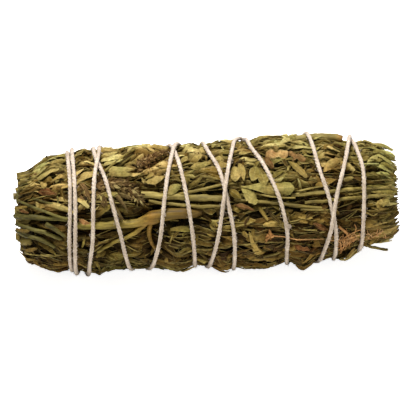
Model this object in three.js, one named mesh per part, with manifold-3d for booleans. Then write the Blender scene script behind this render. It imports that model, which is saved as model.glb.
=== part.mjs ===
// Sage bunch: dried sage sprigs pressed into a thick roll that lies on its side, cut square at the
// -X end, leaf tips frayed at the +X end, and wound criss-cross with one cotton string.
// Millimetres, +Z up, the bunch runs along X and rests on z = 0.
import * as THREE from 'three';
import ManifoldModule from 'manifold-3d';

// ---------------------------------------------------------------- driving dimensions
const AXIS_HEIGHT = 16.7;          // height of the bunch's axis over the table
const STRING_DIAMETER = 1.0;
const STRING_GAP = 0.22;           // clear space kept round the string and round single stems
const CROSSING_LIFT = 1.32;        // rise of a turn that passes over another one
const LEAF_THICKNESS = 0.64;
const OUTER_SPRIGS = 13;
const INNER_SPRIGS = 6;
const CELL_GAP = 0.34;             // clear space between neighbouring sprigs
const CELL_SLANT = 0.32;           // sprigs lean over one another like roof tiles, radians
const SWIRL = 0.16;                // the sprigs' twist round the bunch from middle to end, radians
const OUTER_DEPTH = 5.4;           // radial depth of the outer sprigs
const CORE_DEPTH = 1.75;           // pressed heart of an outer sprig lies this far below the leaves
const MIDDLE_RADIUS = 3.9;
const VIEW_TURN = 28;              // the bunch's front faces this many degrees above the horizon

// radius of the leafy outside, [along the bunch, upper half, lower half]
const PROFILE = [
  [-51.0, 9.6, 9.0], [-49.6, 10.9, 10.8], [-48.0, 11.2, 13.2], [-45.5, 12.3, 14.0], [-43.0, 13.2, 14.6],
  [-40.5, 14.6, 15.2], [-37.3, 15.0, 15.3], [-34.6, 15.2, 15.5], [-32.3, 16.2, 16.2], [-29.0, 15.8, 16.4],
  [-25.0, 15.4, 15.5], [-18.5, 15.7, 15.9], [-12.0, 15.6, 15.8], [-6.0, 15.4, 16.3], [-2.5, 15.7, 15.6],
  [2.0, 15.8, 16.9], [7.0, 15.8, 17.2], [12.0, 16.1, 17.1], [17.0, 16.2, 16.4], [20.0, 16.0, 16.2],
  [23.5, 16.3, 17.3], [27.0, 16.4, 16.6], [31.5, 16.2, 15.9], [35.5, 15.8, 15.9], [38.0, 14.9, 15.0],
  [40.8, 13.6, 13.7], [44.0, 13.4, 13.9], [47.0, 12.6, 13.4], [49.0, 10.8, 11.6], [51.0, 7.6, 8.0],
];

// One string. Each row is a pass down the front, [along the bunch at 90, 60 ... -90 degrees].
const STRING_PASSES = [
  [-36.3, -36.1, -35.8, -36.1, -36.8, -37.0, -36.6],
  [-34.5, -34.4, -34.2, -34.2, -34.6, -35.1, -35.0],
  [-29.0, -28.6, -26.2, -24.4, -22.7, -21.6, -20.6],
  [-8.8, -7.4, -5.9, -4.7, -3.9, -3.7, -3.8],
  [-0.1, 1.1, 4.1, 5.8, 7.0, 6.8, 6.4],
  [11.4, 12.6, 16.3, 19.5, 21.0, 20.6, 20.6],
  [27.2, 28.7, 30.1, 32.4, 33.8, 33.6, 33.0],
  [39.3, 40.5, 41.8, 41.7, 41.2, 40.6, 39.8],
  [38.0, 37.8, 36.7, 34.4, 32.6, 30.4, 28.7],
  [8.8, 7.7, 6.2, 4.6, 2.9, 0.9, -0.4],
  [-6.5, -8.0, -9.7, -11.1, -12.4, -14.2, -15.8],
  [-27.3, -27.6, -29.0, -29.7, -30.3, -31.5, -32.0],
];
const STRING_END = -38.6;          // where the last pass comes up the back to the knot
const STEPS_PER_TURN = 18;

// Single stalks and flowers caught in the outside.  Routes: [along, degrees above front, depth of
// the centre line below the leafy outside, radius].
const STALKS = {
  forked_stem: [
    [[-34.2, -17, 1.9, 0.95], [-25, -18, 2.0, 1.05], [-18, -17, 1.9, 1.2], [-14.6, -12, 1.4, 1.75],
      [-9.2, -9, 1.9, 1.6], [-4.5, -9, 2.0, 1.4], [-0.4, -8.5, 3.0, 0.9]],
    [[-15.2, -14, 1.5, 0.8], [-18.5, -26, 1.6, 0.62], [-22, -34, 1.5, 0.55], [-30, -50, 1.5, 0.5]],
    [[-14.6, -14, 1.5, 0.7], [-15.4, -30, 1.6, 0.55], [-14.2, -48, 1.5, 0.5], [-11, -64, 1.5, 0.45]],
  ],
  straight_stem: [[[-17.0, 13.5, 1.45, 0.85], [-6, 8.5, 1.5, 0.9], [5.2, 4.0, 1.5, 0.8]]],
  tan_stem: [[[-15, 6, 1.3, 0.4], [-10.8, 2.6, 1.2, 0.42], [-4.3, -1.2, 1.2, 0.45], [4, -4, 1.2, 0.45]]],
  thin_stem: [[[7.4, 3, 1.1, 0.42], [20, -4, 1.2, 0.45], [31.6, -12, 1.2, 0.42]]],
  long_stem_upper: [[[22.6, 3.5, 1.2, 0.5], [36, 7, 1.2, 0.5], [43, 9, 1.2, 0.45], [50.6, 9, 0.2, 0.4]]],
  long_stem_lower: [[[26, -4.0, 1.1, 0.42], [36, -2.5, 1.1, 0.45], [42, -2, 1.1, 0.42], [49.6, -1, 0.8, 0.38]]],
  left_stem_upper: [[[-50.4, -4, 1.2, 0.75], [-42, -7, 1.3, 0.7], [-34.6, -10, 1.3, 0.6]]],
  left_stem_middle: [[[-50.2, -18, 1.3, 0.55], [-43, -24, 1.2, 0.55], [-37.6, -34, 1.3, 0.5]]],
  left_stem_lower: [[[-50.3, -29, 1.1, 0.6], [-44, -34, 1.2, 0.6], [-39.2, -46, 1.3, 0.5]]],
  slanted_stem: [[[-26, 37, 1.2, 0.55], [-22, 54, 1.2, 0.5], [-18.2, 71, 1.0, 0.45]]],
  top_stem: [[[24.6, 79, 0.2, 0.8], [31.5, 81, -0.15, 1.0], [36.8, 82, 0.0, 1.0]]],
  stray_stem: [[[37.6, -72, 0.9, 0.35], [42, -70, 0.9, 0.38], [47.4, -68, 0.0, 0.3]]],
};
const SPIKES = {
  flower_spike_curved: [[-28.6, 23, 1.0, 0.45], [-25.5, 25, 1.0, 0.45], [-21.8, 22.5, 1.0, 0.45],
    [-19.4, 13, 1.0, 0.4]],
  flower_spike_straight: [[-17.6, 43, 0.9, 0.4], [-13.2, 56, 0.9, 0.4], [-9.6, 66, 0.9, 0.35]],
  orange_flower: [[34.6, -31, 0.8, 0.5], [36.6, -41, 0.8, 0.5], [37.4, -52, 0.8, 0.45]],
};
const CALYX_STEM = [[26, -40, 1.1, 0.35], [21, -35, 1.0, 0.38], [17.6, -31, 0.7, 0.45]];

// ---------------------------------------------------------------- small helpers
const wasm = await ManifoldModule();
wasm.setup();
const { Manifold, Mesh } = wasm;
const RAD = Math.PI / 180;
const clamp = (v, lo, hi) => Math.min(hi, Math.max(lo, v));
const lerp = (a, b, t) => a + (b - a) * t;

function angleBetween(a, b) {
  let d = (a - b) % (2 * Math.PI);
  if (d > Math.PI) d -= 2 * Math.PI;
  if (d < -Math.PI) d += 2 * Math.PI;
  return d;
}

function rng(seed) {
  let s = seed >>> 0;
  return () => {
    s = (s + 0x6d2b79f5) >>> 0;
    let t = Math.imul(s ^ (s >>> 15), 1 | s);
    t = (t + Math.imul(t ^ (t >>> 7), 61 | t)) ^ t;
    return ((t ^ (t >>> 14)) >>> 0) / 4294967296;
  };
}

function table(rows, u, col) {
  if (u <= rows[0][0]) return rows[0][col];
  for (let i = 1; i < rows.length; i++) {
    if (u <= rows[i][0]) {
      return lerp(rows[i - 1][col], rows[i][col], (u - rows[i - 1][0]) / (rows[i][0] - rows[i - 1][0]));
    }
  }
  return rows[rows.length - 1][col];
}

// radius of the leafy outside at u along the bunch and world angle th (0 = front, 90 degrees = top)
function outside(u, th) {
  const up = 0.5 + 0.5 * Math.sin(th - VIEW_TURN * RAD);
  return lerp(table(PROFILE, u, 2), table(PROFILE, u, 1), up);
}
const place = (u, th, r) => [u, -r * Math.cos(th), AXIS_HEIGHT + r * Math.sin(th)];
// the table holds everything at z >= 0: longest radius at th for a thing of half height half
function floorRadius(th, half) {
  const s = -Math.sin(th);
  return s > 0.2 ? (AXIS_HEIGHT - half) / s : 1e3;
}

// smooth route through control rows (Catmull-Rom), about step mm apart
function route(rows, step) {
  const out = [];
  for (let i = 0; i < rows.length - 1; i++) {
    const p = [rows[Math.max(0, i - 1)], rows[i], rows[i + 1], rows[Math.min(rows.length - 1, i + 2)]];
    const len = Math.hypot(p[2][0] - p[1][0], (p[2][1] - p[1][1]) * RAD * 15);
    const n = Math.max(1, Math.round(len / step));
    for (let k = 0; k < n; k++) {
      const t = k / n;
      out.push(p[1].map((_, c) => 0.5 * (2 * p[1][c] + (p[2][c] - p[0][c]) * t
        + (2 * p[0][c] - 5 * p[1][c] + 4 * p[2][c] - p[3][c]) * t * t
        + (3 * p[1][c] - p[0][c] - 3 * p[2][c] + p[3][c]) * t * t * t)));
    }
  }
  out.push(rows[rows.length - 1]);
  return out;
}

// ---------------------------------------------------------------- solids
function solid(points, triangles) {
  const verts = new Float32Array(points.length * 3);
  points.forEach((p, i) => verts.set(p, i * 3));
  const mesh = new Mesh({ numProp: 3, vertProperties: verts, triVerts: new Uint32Array(triangles.flat()) });
  let m = new Manifold(mesh);
  if (m.volume() < 0) {
    m = new Manifold(new Mesh({ numProp: 3, vertProperties: verts,
      triVerts: new Uint32Array(triangles.map(([a, b, c]) => [a, c, b]).flat()) }));
  }
  return m;
}

// round or oval bar along a chain of points; radii per point; ring = number of sides
function bar(points, radii, ring) {
  const n = points.length;
  const verts = [];
  const tris = [];
  const v = points.map((p) => new THREE.Vector3(...p));
  let side = null;
  for (let i = 0; i < n; i++) {
    const dir = new THREE.Vector3().subVectors(v[Math.min(n - 1, i + 1)], v[Math.max(0, i - 1)]).normalize();
    const outward = new THREE.Vector3(0, v[i].y, v[i].z - AXIS_HEIGHT);
    if (outward.length() < 0.5) outward.set(0, 0, 1);
    const s = new THREE.Vector3().crossVectors(dir, outward).normalize();
    if (side && s.dot(side) < 0) s.negate();
    side = s;
    const up = new THREE.Vector3().crossVectors(s, dir).normalize();
    for (let k = 0; k < ring; k++) {
      const a = (k / ring) * 2 * Math.PI;
      const q = v[i].clone().addScaledVector(s, radii[i] * Math.cos(a));
      q.addScaledVector(up, radii[i] * Math.sin(a));
      if (q.z < 0) q.z = 0;          // pressed flat against the table
      verts.push(q.toArray());
    }
  }
  for (let i = 0; i < n - 1; i++) {
    for (let k = 0; k < ring; k++) {
      const a = i * ring + k;
      const b = i * ring + ((k + 1) % ring);
      tris.push([a, b, a + ring], [b, b + ring, a + ring]);
    }
  }
  for (let k = 1; k < ring - 1; k++) {
    tris.push([0, k + 1, k]);
    tris.push([(n - 1) * ring, (n - 1) * ring + k, (n - 1) * ring + k + 1]);
  }
  return solid(verts, tris);
}

// thin blade from a middle surface: both faces are split alike
function sheet(points, triangles, thickness) {
  const n = points.length;
  const v = points.map((p) => new THREE.Vector3(...p));
  const normal = v.map(() => new THREE.Vector3());
  const edges = new Map();
  for (const [a, b, c] of triangles) {
    const f = new THREE.Vector3().crossVectors(v[b].clone().sub(v[a]), v[c].clone().sub(v[a]));
    [a, b, c].forEach((i) => normal[i].add(f));
    for (const [p, q] of [[a, b], [b, c], [c, a]]) {
      if (edges.has(`${q},${p}`)) edges.delete(`${q},${p}`);
      else edges.set(`${p},${q}`, [p, q]);
    }
  }
  const verts = [];
  normal.forEach((m) => m.normalize());
  v.forEach((p, i) => verts.push(p.clone().addScaledVector(normal[i], thickness / 2).toArray()));
  v.forEach((p, i) => verts.push(p.clone().addScaledVector(normal[i], -thickness / 2).toArray()));
  const tris = [];
  for (const [a, b, c] of triangles) tris.push([a, b, c], [a + n, c + n, b + n]);
  for (const [p, q] of edges.values()) tris.push([p, p + n, q], [q, p + n, q + n]);
  for (const p of verts) if (p[2] < 0.03) p[2] = 0.03;
  return solid(verts, tris);
}

// takes out the edges and slivers too small to matter, where the joined pieces only just meet
function tidy(mesh, shortest, thinnest) {
  const v = [];
  for (let i = 0; i < mesh.vertProperties.length; i += 3) v.push(Array.from(mesh.vertProperties.slice(i, i + 3)));
  const tris = [];
  for (let i = 0; i < mesh.triVerts.length; i += 3) tris.push(Array.from(mesh.triVerts.slice(i, i + 3)));
  const around = v.map(() => new Set());
  tris.forEach((t, i) => t.forEach((a) => around[a].add(i)));
  const dist = (a, b) => Math.hypot(v[a][0] - v[b][0], v[a][1] - v[b][1], v[a][2] - v[b][2]);
  const cross = (p, q, r) => {
    const a = [q[0] - p[0], q[1] - p[1], q[2] - p[2]];
    const b = [r[0] - p[0], r[1] - p[1], r[2] - p[2]];
    return [a[1] * b[2] - a[2] * b[1], a[2] * b[0] - a[0] * b[2], a[0] * b[1] - a[1] * b[0]];
  };
  const ringOf = (a) => {
    const out = new Set();
    for (const i of around[a]) for (const q of tris[i]) if (q !== a) out.add(q);
    return out;
  };
  // moves a onto b; false where that would pinch the skin or turn a face over
  const collapse = (a, b) => {
    const ra = ringOf(a);
    const rb = ringOf(b);
    let shared = 0;
    for (const q of ra) if (rb.has(q)) shared += 1;
    if (shared !== 2) return false;
    for (const i of around[a]) {
      if (tris[i].includes(b)) continue;
      const before = cross(...tris[i].map((q) => v[q]));
      const after = cross(...tris[i].map((q) => v[q === a ? b : q]));
      const size = Math.hypot(...before) * Math.hypot(...after);
      const dot = before[0] * after[0] + before[1] * after[1] + before[2] * after[2];
      if (Math.hypot(...before) > 2e-3 && dot < 0.3 * size) return false;
    }
    for (const i of [...around[a]]) {
      if (tris[i].includes(b)) {
        for (const q of tris[i]) around[q].delete(i);
        tris[i] = null;
      } else {
        tris[i] = tris[i].map((q) => (q === a ? b : q));
        around[b].add(i);
      }
    }
    around[a].clear();
    return true;
  };
  for (let round = 0; round < 12; round++) {
    let changes = 0;
    for (let i = 0; i < tris.length; i++) {
      if (!tris[i]) continue;
      const [a, b, c] = tris[i];
      const edges = [[a, b, c], [b, c, a], [c, a, b]].map(([p, q, r]) => [dist(p, q), p, q, r]);
      edges.sort((x, y) => x[0] - y[0]);
      if (edges[0][0] < shortest) {
        if (collapse(edges[0][1], edges[0][2]) || collapse(edges[0][2], edges[0][1])) {
          changes += 1;
          continue;
        }
      }
      const [len, p, q, r] = edges[2];
      if (Math.hypot(...cross(v[a], v[b], v[c])) / len < thinnest) {
        // r lies on the long edge p-q: swap that edge for the one from r to the far corner
        const other = [...around[p]].find((k) => k !== i && tris[k].includes(q));
        const far = tris[other].find((x) => x !== p && x !== q);
        if (far !== r && !ringOf(r).has(far)) {
          for (const k of [i, other]) for (const x of tris[k]) around[x].delete(k);
          tris[i] = [r, p, far];
          tris[other] = [r, far, q];
          for (const k of [i, other]) for (const x of tris[k]) around[x].add(k);
          changes += 1;
        }
      }
    }
    if (!changes) break;
  }
  // two corners that touch are drawn a little apart, each towards the middle of its own faces
  const seen = new Map();
  v.forEach((p, i) => {
    if (!around[i].size) return;
    const key = p.map((x) => Math.round(x * 500)).join();
    if (!seen.has(key)) {
      seen.set(key, i);
      return;
    }
    for (const k of [i, seen.get(key)]) {
      const ring = [...ringOf(k)];
      for (let c = 0; c < 3; c++) {
        const middle = ring.reduce((sum, q) => sum + v[q][c], 0) / ring.length;
        v[k][c] += (middle - v[k][c]) * 0.06;
      }
    }
  });
  const index = new Map();
  const verts = [];
  const list = [];
  for (const t of tris) {
    if (!t) continue;
    for (const q of t) {
      if (!index.has(q)) {
        index.set(q, index.size);
        verts.push(...v[q]);
      }
      list.push(index.get(q));
    }
  }
  return new Mesh({ numProp: 3, vertProperties: Float32Array.from(verts), triVerts: Uint32Array.from(list) });
}

// one body: joins the pieces, keeps the largest outside skin, drops scraps and fills hollows
function fuse(pieces, tolerance = 0.03) {
  let m = Manifold.union(pieces).simplify(tolerance);
  for (let round = 0; round < 3; round++) {
    let best = null;
    for (const part of m.decompose()) {
      if (!best || part.volume() > best.volume()) best = part;
    }
    m = new Manifold(tidy(best.getMesh(), 0.07, 0.02));
  }
  return m;
}

// ---------------------------------------------------------------- routes of the stalks and flowers
function stalkPoints(rows, step) {
  return route(rows, step).map(([u, deg, depth, rad]) => {
    const th = (deg + VIEW_TURN) * RAD;
    const r = Math.min(outside(u, th) - depth, floorRadius(th, rad + 0.1));
    return { u, th, r, rad };
  });
}
const stalkRoutes = {};
for (const [name, routes] of Object.entries(STALKS)) {
  stalkRoutes[name] = routes.map((rows) => stalkPoints(rows, 3.4));
}
for (const [name, rows] of Object.entries(SPIKES)) stalkRoutes[name] = [stalkPoints(rows, 2.2)];
stalkRoutes.orange_calyx = [stalkPoints(CALYX_STEM, 2.6)];

// ---------------------------------------------------------------- the string's route
function stringRoute() {
  const keys = [];
  STRING_PASSES.forEach((pass, turn) => {
    pass.forEach((u, k) => keys.push([90 - 30 * k - 360 * turn, u]));
    const from = pass[6];
    const to = turn < STRING_PASSES.length - 1 ? STRING_PASSES[turn + 1][0] : STRING_END;
    const last = turn === STRING_PASSES.length - 1;
    const stop = last ? 3 : 6;
    for (let k = 1; k < stop; k++) {
      const t = k / 6;
      keys.push([-90 - 30 * k - 360 * turn, lerp(from, to, last ? t * 1.6 : t)]);
    }
  });
  const first = keys[0][0];
  // the string starts at the knot on the back and comes over the top
  const start = [];
  for (let k = 3; k >= 1; k--) start.push([first + 30 * k, lerp(keys[0][1], STRING_END + 1.6, k / 3)]);
  const all = [...start, ...keys];
  const pts = [];
  const total = all[0][0] - all[all.length - 1][0];
  const n = Math.round((total / 360) * STEPS_PER_TURN);
  for (let i = 0; i <= n; i++) {
    const deg = all[0][0] - (total * i) / n;
    const k = clamp(Math.floor((all[0][0] - deg) / 30), 0, all.length - 2);
    const t = (all[k][0] - deg) / (all[k][0] - all[k + 1][0]);
    const p0 = all[Math.max(0, k - 1)][1];
    const p1 = all[k][1];
    const p2 = all[k + 1][1];
    const p3 = all[Math.min(all.length - 1, k + 2)][1];
    const u = 0.5 * (2 * p1 + (p2 - p0) * t + (2 * p0 - 5 * p1 + 4 * p2 - p3) * t * t
      + (3 * p1 - p0 - 3 * p2 + p3) * t * t * t);
    pts.push({ u, th: (deg + VIEW_TURN) * RAD, lift: 0 });
  }
  // a later turn climbs over an earlier one
  const near = STRING_DIAMETER + STRING_GAP * 0.6;
  pts.forEach((p) => {
    p.base = outside(p.u, p.th) + STRING_DIAMETER / 2 - 0.1;
    // the string rides over the single stalks
    for (const q of Object.values(stalkRoutes).flat(2)) {
      const d = Math.hypot(p.u - q.u, angleBetween(p.th, q.th) * 16);
      const over = q.r + q.rad + STRING_DIAMETER / 2 + 0.32 - Math.max(0, d - 2.6) * 0.5;
      if (d < 6 && over > p.base) p.base = over;
    }
  });
  for (let i = 0; i < pts.length; i++) {
    for (let j = 0; j < i - 8; j++) {
      const d = Math.hypot(pts[i].u - pts[j].u, angleBetween(pts[i].th, pts[j].th) * 16);
      const reach = 3.2;
      if (d < reach) {
        const rise = pts[j].lift + CROSSING_LIFT * clamp((reach - d) / (reach - near * 0.8), 0, 1);
        pts[i].lift = Math.max(pts[i].lift, rise);
      }
    }
  }
  for (let pass = 0; pass < 2; pass++) {
    const copy = pts.map((p) => p.lift);
    for (let i = 1; i < pts.length - 1; i++) {
      pts[i].lift = Math.max(copy[i], (copy[i - 1] + copy[i + 1]) / 2);
    }
  }
  for (const p of pts) {
    p.r = Math.min(p.base + p.lift, floorRadius(p.th, STRING_DIAMETER * 0.36));
  }
  return pts;
}
const STRING = stringRoute();

// ---------------------------------------------------------------- things the leaves keep clear of
const obstacles = [];
for (const p of STRING) obstacles.push({ u: p.u, th: p.th, r: p.r - p.lift, rad: STRING_DIAMETER / 2 });
for (const [name, routes] of Object.entries(stalkRoutes)) {
  const extra = SPIKES[name] || name === 'orange_calyx' ? 0.55 : 0;
  for (const pts of routes) {
    for (let i = 0; i < pts.length; i++) {
      obstacles.push({ ...pts[i], rad: pts[i].rad + extra, name });
      if (i) {
        const q = pts[i - 1];
        obstacles.push({ u: (pts[i].u + q.u) / 2, th: (pts[i].th + q.th) / 2, r: (pts[i].r + q.r) / 2,
          rad: (pts[i].rad + q.rad) / 2 + extra, name });
      }
    }
  }
}

// greatest radius a leaf's middle surface may have
function ceiling(u, th, bulge) {
  let lim = Math.min(outside(u, th) + bulge, floorRadius(th, LEAF_THICKNESS / 2));
  for (const o of obstacles) {
    const du = u - o.u;
    if (du > 7 || du < -7) continue;
    const d = Math.hypot(du, angleBetween(th, o.th) * 15.5);
    const edge = o.rad + 1.0;
    const low = o.r - o.rad - STRING_GAP - LEAF_THICKNESS / 2;
    const here = d < edge ? low : low + (d - edge) * 0.75;
    if (here < lim) lim = here;
  }
  return lim;
}

// ---------------------------------------------------------------- sprigs
const sector = (2 * Math.PI) / OUTER_SPRIGS;
const EDGE = 0.94;                 // share of a cell's half width that leaf edges may use
function cellPlace(cell, u, a, r) {
  const mid = cell.centre + SWIRL * (u / 50) + 0.03 * Math.sin(u * 0.11 + 1.3);
  const half = cell.half - CELL_GAP / 2 / Math.max(r, 2);
  return place(u, mid + a * half + cell.slant * (r - cell.midR) / 4, r);
}
function cellAngle(cell, u, a, r) {
  const mid = cell.centre + SWIRL * (u / 50) + 0.03 * Math.sin(u * 0.11 + 1.3);
  return mid + a * (cell.half - CELL_GAP / 2 / Math.max(r, 2)) + cell.slant * (r - cell.midR) / 4;
}

// leaf outline stations, [along, half width]: a pointed blade and a blunt one
const POINTED = [[0, 0.3], [0.46, 1.0], [1, 0]];
const BLUNT = [[0, 0.3], [0.52, 1.0], [1, 0.38]];

// a leaf in a sprig's cell; returns its solid, or null where it would leave its room
function leaf(cell, spec, blockers) {
  const { u0, a0, turn, length, width, roll, lift, bulge, low } = spec;
  const pts = [];
  const at = (t, s) => {
    const along = t * length;
    const bend = turn * (1 - 0.35 * t);
    const across = s * width;
    const u = clamp(u0 + Math.cos(bend) * along - Math.sin(bend) * across, -50.6, 50.9);
    const arc = Math.sin(bend) * along + Math.cos(bend) * across;
    const room = cell.half * 15;
    let a = a0 + arc / room;
    let fold = 0;
    if (a > EDGE) { fold = a - EDGE; a = EDGE; }
    if (a < -EDGE) { fold = -EDGE - a; a = -EDGE; }
    let r = low(u) + lift * Math.sin(Math.min(1, t * 1.25) * Math.PI * 0.5) + roll * s * width
      - 0.45 * Math.abs(s) * width * 0.4 - fold * 1.2;
    const th = cellAngle(cell, u, a, r);
    const top = ceiling(u, th, bulge);
    r = Math.min(r, top);
    r = Math.max(r, cell.floorR(u));
    pts.push(cellPlace(cell, u, a, r));
  };
  for (const [t, w] of spec.blunt ? BLUNT : POINTED) {
    if (w === 0) at(t, 0);
    else {
      at(t, -w);
      at(t, w);
    }
  }
  const tris = [[0, 1, 2], [1, 3, 2], [2, 3, 4]];
  if (spec.blunt) tris.push([3, 5, 4]);
  const m = sheet(pts, tris, LEAF_THICKNESS);
  if (!m || m.status() !== 'NoError' || m.volume() < 0.6) return null;
  for (const b of blockers) {
    if (Manifold.intersection(m, b).volume() > 1e-5) return null;
  }
  return m;
}

// pressed heart of a sprig: a fluted bar that fills the inside of its cell
function heart(cell, u0, u1, random, inner, outer, step = 9) {
  const n = Math.round((u1 - u0) / step);
  const shape = [[-0.6, 0.0], [0.6, 0.0], [0.9, 0.7], [0.3, 1.0], [-0.85, 0.75]];
  const verts = [];
  for (let i = 0; i <= n; i++) {
    const u = lerp(u0, u1, i / n);
    const taper = i === 0 || i === n ? 0.55 : 1;
    // the leaves pressed into it make it step and fold from one side to the other
    shape[2][1] = i % 2 ? 0.95 : 0.55;
    shape[3][0] = i % 2 ? -0.3 : 0.5;
    shape[4][1] = i % 2 ? 0.5 : 0.85;
    for (const [a, h] of shape) {
      const r0 = inner(u);
      let r = lerp(r0, outer(u), 0.5 + (h - 0.5) * taper) + (random() - 0.5) * 0.9 * (h > 0.3 ? 1 : 0.2);
      const aa = clamp(a * taper + (random() - 0.5) * 0.12, -0.94, 0.94);
      const th = cellAngle(cell, u, aa, r);
      r = Math.min(r, ceiling(u, th, 0) - 0.1);
      r = Math.min(r, floorRadius(th, 0.6));
      verts.push(cellPlace(cell, u, aa, r));
    }
  }
  const ring = shape.length;
  const tris = [];
  for (let i = 0; i < n; i++) {
    for (let k = 0; k < ring; k++) {
      const a = i * ring + k;
      const b = i * ring + ((k + 1) % ring);
      tris.push([a, b, a + ring], [b, b + ring, a + ring]);
    }
  }
  for (let k = 1; k < ring - 1; k++) {
    tris.push([0, k + 1, k]);
    tris.push([n * ring, n * ring + k, n * ring + k + 1]);
  }
  let m = solid(verts, tris);
  for (const b of blockersAll) {
    if (Manifold.intersection(m, b).volume() > 1e-5) m = m.subtract(b);
  }
  return m;
}

const blockersAll = [];            // string and stalks, a little fat, then every finished sprig

function outerSprig(index) {
  const random = rng(index === 3 ? 1305 : 1000 + index * 77);
  const cell = {
    centre: sector * (index + 0.5), half: sector / 2, slant: CELL_SLANT, midR: 13.5,
    floorR: (u) => outside(u, 0) - OUTER_DEPTH * 0.93,
  };
  const shell = (u) => outside(u, cell.centre + SWIRL * (u / 50));
  const pieces = [];
  const from = -45.6 + random() * 1.4;
  const to = 43 + random() * 2.5;
  pieces.push(heart(cell, from, to, random, (u) => Math.max(8.6, shell(u) - OUTER_DEPTH + 0.1),
    (u) => shell(u) - CORE_DEPTH));
  // cut stem at the -X end
  const end = -50.9 + random() * 2.2;
  for (let k = 0; k < 6; k++) {
    const a = (random() - 0.5) * 0.9;
    const fat = 0.62 + random() * 0.45;
    const line = [end, -45, -40].map((u) => cellPlace(cell, u, a, 9.9 + (u > -42 ? 1 : 0) + random() * 0.3));
    const stem = bar(line, [fat, fat, fat], 7);
    if (blockersAll.every((b) => Manifold.intersection(stem, b).volume() < 1e-5)) {
      pieces.push(stem);
      break;
    }
  }
  const blades = [];
  const heartSolid = pieces[0];
  // a blade may meet an earlier one only inside the pressed heart, where both are rooted
  const crosses = (m) => blades.some((b) => {
    const shared = Manifold.intersection(m, b);
    return shared.volume() > 1e-4 && shared.subtract(heartSolid).volume() > 1e-3;
  });
  const grow = (spec, tries) => {
    for (let k = 0; k < tries; k++) {
      const s = { ...spec };
      if (k) {
        s.u0 += (random() - 0.5) * (2 + k * 0.5);
        s.a0 = clamp(s.a0 + (random() - 0.5) * 0.6, -0.8, 0.8);
        s.lift *= 0.7 + random() * 0.4;
        s.turn += (random() - 0.5) * 0.4;
        s.length *= 0.97;
      }
      const m = leaf(cell, s, blockersAll);
      if (m && !crosses(m)) {
        pieces.push(m);
        blades.push(m);
        return;
      }
    }
  };
  const facing = Math.cos(cell.centre - VIEW_TURN * RAD);
  const perRow = facing > 0.35 ? 11 : 6;
  for (let k = 0; k < perRow * 2; k++) {
    const side = k % 2 ? 1 : -1;
    const back = random() < 0.15;
    const turn = (random() - 0.5) * 0.75;
    grow({
      u0: lerp(-47.5, 41, ((k >> 1) + 0.25 + side * 0.25 + random() * 0.4) / perRow) + (back ? 8 : 0),
      a0: side * 0.42 - Math.sin(turn) * 0.35,
      turn: back ? Math.PI - turn : turn,
      length: (perRow > 8 ? 8.2 : 12) + random() * 3, width: 1.7 + random() * 0.6, roll: (random() - 0.5) * 0.4,
      lift: 1.7 + random() * 0.9, bulge: 0.2 + random() * 1.0, low: (u) => shell(u) - CORE_DEPTH - 0.35,
      blunt: random() < 0.5,
    }, 14);
  }
  // leaf tips at +X
  for (let k = 0; k < 2; k++) {
    grow({
      u0: to - 3.2 - k * 1.1, a0: (k - 0.5) * 0.9, blunt: k % 2 === 0, turn: (random() - 0.5) * 0.5,
      length: 50.8 - to + 3 - random() * 3.4, width: 1.4 + random() * 0.8, roll: (random() - 0.5) * 0.7,
      lift: 0.6 + random() * 1.6, bulge: 0.6, low: (u) => shell(Math.min(u, 46)) - CORE_DEPTH - 0.6 - k * 0.5,
    }, 14);
  }
  // leaf end at -X
  for (let k = 0; k < 1; k++) {
    grow({
      u0: from + 3.2, a0: (random() - 0.5) * 0.6, turn: Math.PI + (random() - 0.5) * 0.4,
      length: 6.2 + random() * 1.2, width: 1.4 + random() * 0.7, roll: (random() - 0.5) * 0.7,
      lift: 0.4 + random() * 1.2, bulge: 0.4, low: (u) => shell(Math.max(u, -48)) - CORE_DEPTH - 0.8,
    }, 14);
  }
  const body = fuse(pieces);
  blockersAll.push(body);
  return body;
}

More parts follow.
